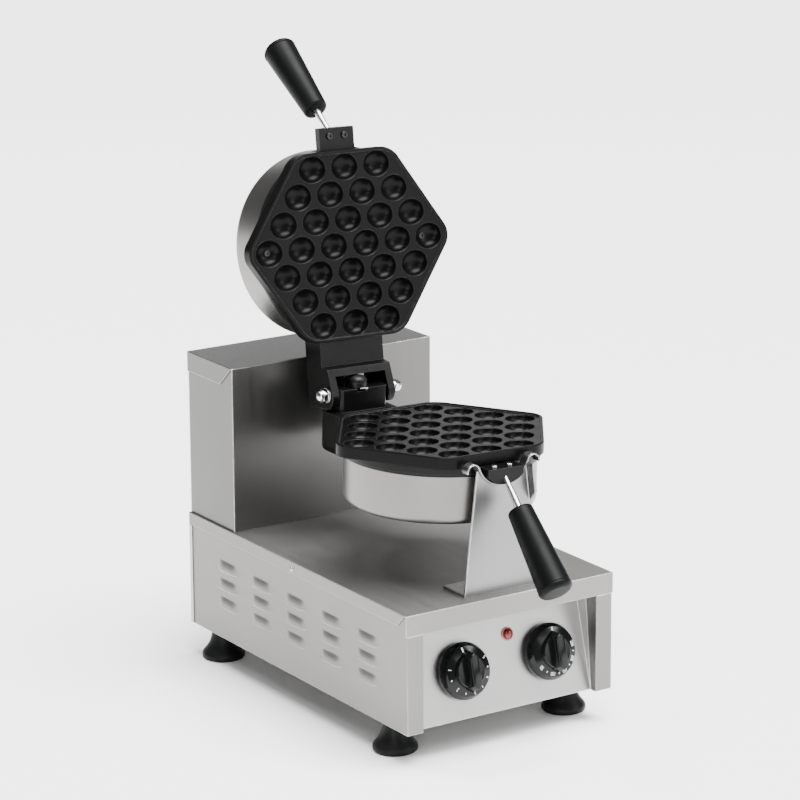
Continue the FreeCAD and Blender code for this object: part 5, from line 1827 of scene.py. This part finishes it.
@dataclass(frozen=True)
class Fasteners:
    """Screws and rivets that show on the outside, and the gland for the mains lead."""

    cradle_side: float = 30.0
    cradle_inset: float = 24.0
    cradle_level: float = 160.5
    head_radius: float = 4.0
    head: float = 2.6
    head_crown: float = 1.0
    cross_length: float = 4.4
    cross_width: float = 1.1
    cross_depth: float = 1.3
    cross_turn: float = 0.5
    rivet_side: float = 125.0
    rivet_inset: float = 212.0
    rivet_level: float = 149.5
    rivet_radius: float = 2.5
    rivet_rise: float = 1.2
    rivet_profile: tuple[Point, ...] = (
        (1.0, 0.0), (0.96, 0.3), (0.8, 0.7), (0.5, 1.0), (0.38, 0.95), (0.3, 0.6), (0.0, 0.6)
    )
    lug_side: float = 9.0
    lower_lug_inset: float = 17.5
    upper_lug_inset: float = 11.5
    lug_face: float = 12.8
    lug_radius: float = 3.5
    lug_rise: float = 2.0
    lug_crown: float = 0.5
    socket_across: float = 3.4
    socket_depth: float = 1.5
    gland_side: float = 70.0
    gland_level: float = 74.6
    gland_face: float = 420.0
    gland_radius: float = 9.0
    gland_across: float = 24.18
    gland_length: float = 14.0
    gland_bore: float = 4.0
    gland_tail: float = 7.2

    def cross_head(self) -> Form:
        """Round head with a cross recess."""
        recess = cross(self.cross_length, self.cross_width)
        return recessed_head(self.head_radius, self.head, recess, self.cross_depth, self.head_crown)

    def lug_head(self) -> Form:
        """Socket head of a screw that holds a rod's lug."""
        socket = hexagon(self.socket_across)
        return recessed_head(self.lug_radius, self.lug_rise, socket, self.socket_depth, self.lug_crown)

    def gland(self) -> Form:
        """Gland with a hexagon nut and a rounded mouth, along Z.

        Returns:
            The gland.
        """
        face, half, bore = self.gland_face, self.gland_length / 2, self.gland_bore
        nut = prism(hexagon(self.gland_across), face, face + half).softened(0.5, steps=2, angle=20)
        sleeve = turned([
            (bore, face - self.gland_tail),
            (self.gland_radius, face - self.gland_tail),
            (self.gland_radius, face + half + 3.0),
            (self.gland_radius - 0.6, face + half + 5.4),
            (self.gland_radius - 2.2, face + half + 6.8),
            (bore + 1.0, face + self.gland_length),
            (bore, face + self.gland_length - 1.0),
        ], steps=48, closed=True)
        return nut.joined(sleeve)

    def rivet(self) -> Form:
        """Dome of a rivet with the dimple of its pulled pin."""
        outline = [(self.rivet_radius * out, self.rivet_rise * up) for out, up in self.rivet_profile]
        return turned([(0.0, 0.0), *outline], steps=28)

    def build(self) -> None:
        """Builds the fasteners of each group."""
        cradle, rivets, lower_lugs, upper_lugs = Form(), Form(), Form(), Form()
        for side in Side:
            sign = side.value
            place = at(sign * self.cradle_side, self.cradle_inset, self.cradle_level + self.head)
            cradle.joined(self.cross_head().moved(place @ Matrix.Rotation(self.cross_turn * sign, 4, "Z")))
            place = side.mirror @ at(self.rivet_side, self.rivet_inset, self.rivet_level)
            rivets.joined(self.rivet().moved(Axis.X.turn).moved(place))
            place = at(sign * self.lug_side, self.lower_lug_inset, self.lug_rise - self.lug_face)
            lower_lugs.joined(self.lug_head().moved(place))
            place = at(sign * self.lug_side, self.upper_lug_inset, self.lug_face - self.lug_rise)
            upper_lugs.joined(self.lug_head().moved(place @ UPSIDE_DOWN))
        finished("cradle_cross_screws", cradle, LAYOUT.base, "base", BRIGHT, ["cradle_screws"])
        finished("apron_rivets", rivets, LAYOUT.base, "base", BRIGHT, ["cover_screws"])
        finished("lower_lug_heads", lower_lugs, LAYOUT.pans, "pans", BRIGHT, ["lower_lug_screws"])
        finished("upper_lug_heads", upper_lugs, LAYOUT.lid, "lid", DARK_SCREW, ["upper_lug_screws"])
        place = LAYOUT.base @ at(self.gland_side, 0, self.gland_level) @ Axis.Y.turn
        finished("mains_gland", self.gland(), place, "base", FITTING, ["cable_gland"])


@dataclass(frozen=True)
class Softbox:
    """Rectangular light: its place and size in metres and its power in watts."""

    name: str
    place: Place
    size: Point
    power: float


@dataclass(frozen=True)
class Studio:
    """Pale floor, soft lights and the camera of the photograph."""

    target: Place = (0.0246, 0.0526, 0.2998)
    distance: float = 3.5982
    azimuth: float = -33.298
    elevation: float = 15.281
    roll: float = -0.274
    focal_pixels: float = 3474.3
    image_width: float = 800.0
    sensor: float = 36.0
    near: float = 0.05
    far: float = 60.0
    floor_half: float = 15.0
    sky_strength: float = 0.18
    dome_lean: Point = (0.16, -0.20)
    dome_spread: float = 44.0
    dome_strength: float = 12.5
    softboxes: tuple[Softbox, ...] = (
        Softbox("key_softbox", (-1.5, -2.1, 2.3), (0.7, 0.7), 26),
        Softbox("left_softbox", (-2.0, -2.1, 0.62), (0.45, 0.55), 20),
        Softbox("overhead_softbox", (-0.9, 0.8, 2.6), (0.40, 0.40), 32),
        Softbox("side_softbox", (1.9, -1.9, 1.9), (0.7, 0.9), 26),
        Softbox("front_softbox", (1.3, -2.4, 0.9), (1.6, 1.2), 22),
        Softbox("back_softbox", (1.7, 2.6, 1.0), (2.2, 0.9), 7),
    )

    def camera(self) -> None:
        """Camera at the photograph's place, turned as it was, as the scene's own."""
        azimuth, elevation = math.radians(self.azimuth), math.radians(self.elevation)
        back = Vector((
            math.sin(azimuth) * math.cos(elevation),
            -math.cos(azimuth) * math.cos(elevation),
            math.sin(elevation),
        ))
        aside = Vector((0, 0, 1)).cross(back).normalized()
        upward = back.cross(aside)
        turn = Matrix((aside, upward, back)).transposed() @ Matrix.Rotation(math.radians(self.roll), 3, "Z")
        data = bpy.data.cameras.new("photo_camera")
        data.sensor_width = self.sensor
        data.lens = self.focal_pixels * self.sensor / self.image_width
        data.clip_start, data.clip_end = self.near, self.far
        camera = bpy.data.objects.new("photo_camera", data)
        camera.matrix_world = Matrix.Translation(Vector(self.target) + back * self.distance) @ turn.to_4x4()
        bpy.context.scene.collection.objects.link(camera)
        bpy.context.scene.camera = camera

    def floor(self) -> None:
        """Plain pale floor."""
        grid = bmesh.new()
        bmesh.ops.create_grid(grid, x_segments=1, y_segments=1, size=self.floor_half)
        mesh = bpy.data.meshes.new("studio_floor")
        grid.to_mesh(mesh)
        grid.free()
        floor = bpy.data.objects.new("studio_floor", mesh)
        bench = Bench("pale_floor")
        bench.set(Base_Color=(0.95, 0.95, 0.95, 1), Roughness=0.8, Specular_IOR_Level=0.1)
        mesh.materials.append(bench.material)
        bpy.context.scene.collection.objects.link(floor)

    def softbox(self, box: Softbox) -> None:
        """One rectangular light that faces the camera's target.

        Args:
            box: its place, size and power.
        """
        data = bpy.data.lights.new(box.name, "AREA")
        data.shape = "RECTANGLE"
        data.size, data.size_y = box.size
        data.energy = box.power
        light = bpy.data.objects.new(box.name, data)
        facing = (Vector(box.place) - Vector(self.target)).to_track_quat("Z", "Y")
        light.matrix_world = Matrix.Translation(box.place) @ facing.to_matrix().to_4x4()
        bpy.context.scene.collection.objects.link(light)

    def dome(self) -> None:
        """Wide even light from overhead, as from a large white ceiling."""
        data = bpy.data.lights.new("overhead_dome", "SUN")
        data.angle = math.radians(self.dome_spread)
        data.energy = self.dome_strength
        light = bpy.data.objects.new("overhead_dome", data)
        light.matrix_world = Vector((*self.dome_lean, 1)).to_track_quat("Z", "Y").to_matrix().to_4x4()
        bpy.context.scene.collection.objects.link(light)

    def sky(self) -> None:
        """Even white light from all round."""
        world = bpy.data.worlds.new("studio_sky")
        world.use_nodes = True
        background = world.node_tree.nodes["Background"]
        background.inputs["Color"].default_value = (1, 1, 1, 1)
        background.inputs["Strength"].default_value = self.sky_strength
        bpy.context.scene.world = world

    def build(self) -> None:
        """Sets up the whole studio."""
        self.camera()
        self.floor()
        self.sky()
        self.dome()
        for box in self.softboxes:
            self.softbox(box)


NODES_BY_FINISH: tuple[tuple[Finish, str], ...] = (
    (SHEET_TOP_PAINTED_LIGHT, "base_top_cover"),
    (SHEET_ALONG_PAINTED_SHADE, "side_panel_left side_panel_right base_bottom_plate"),
    (SHEET_ACROSS_PAINTED_LIGHT, "base_rear_panel control_panel tower_rear_panel"),
    (SHEET_UPRIGHT_PAINTED_SHADE, "tower_hood tower_side_left tower_side_right"),
    (CRADLE_STEEL, "cradle_plate cradle_strip"),
    (DRUM_STEEL, "lower_drum_cover upper_drum_cover"),
    (NON_STICK, "lower_mould_plate upper_mould_plate"),
    (BLACK_CAST, "lower_carrier upper_carrier"),
    (GRIP_BLACK, "lower_handle_grip upper_handle_grip"),
    (DIAL_BLACK, "timer_knob thermostat_knob"),
    (RUBBER, "foot_front_left foot_front_right foot_rear_left foot_rear_right"),
    (SWITCH, "timer_body thermostat_body indicator_lamp_body terminal_block"),
    (FITTING, "cable_gland lead_bush"),
    (LAMP_RED, "indicator_lamp_lens"),
    (BRIGHT, "foot_screws cradle_screws cover_screws hinge_pin hinge_washers hinge_nuts lower_lug_screws"),
    (BRIGHT, "lower_drum_bolt upper_drum_bolt"),
    (DARK_SCREW, "lower_mould_screws upper_mould_screws upper_lug_screws"),
    (SHAFT, "timer_spindle thermostat_spindle roll_shaft lower_handle_rod upper_handle_rod"),
    (BRONZE, "front_bush rear_bush"),
    (PLATE, "front_bearing_plate rear_bearing_plate shaft_collar"),
    (HEATER, "lower_heater upper_heater"),
    (WOOL, "lower_insulation upper_insulation"),
)


def dress_nodes() -> None:
    """Gives every node its finish."""
    finishes = {name: finish for finish, names in NODES_BY_FINISH for name in names.split()}
    for name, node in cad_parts.items():
        if not node.material_slots:
            node.data.materials.append(None)
        for slot in node.material_slots:
            slot.link = "OBJECT"
            slot.material = finishes[name].material()
    LOG.info("%d nodes dressed", len(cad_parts))


def main() -> None:
    """Builds the studio and the sub-assemblies in order."""
    logging.basicConfig(level=logging.INFO, format="%(name)s: %(message)s")
    Studio().build()
    dress_nodes()
    for part in (
        SoftenedSheets(),
        SidePanels(),
        MouldPlates(),
        Drums(),
        Handles(),
        Feet(),
        Dials(),
        Lamp(),
        Hinge(),
        RollBearing(),
        Fasteners(),
    ):
        part.build()


if __name__ == "__main__":
    main()
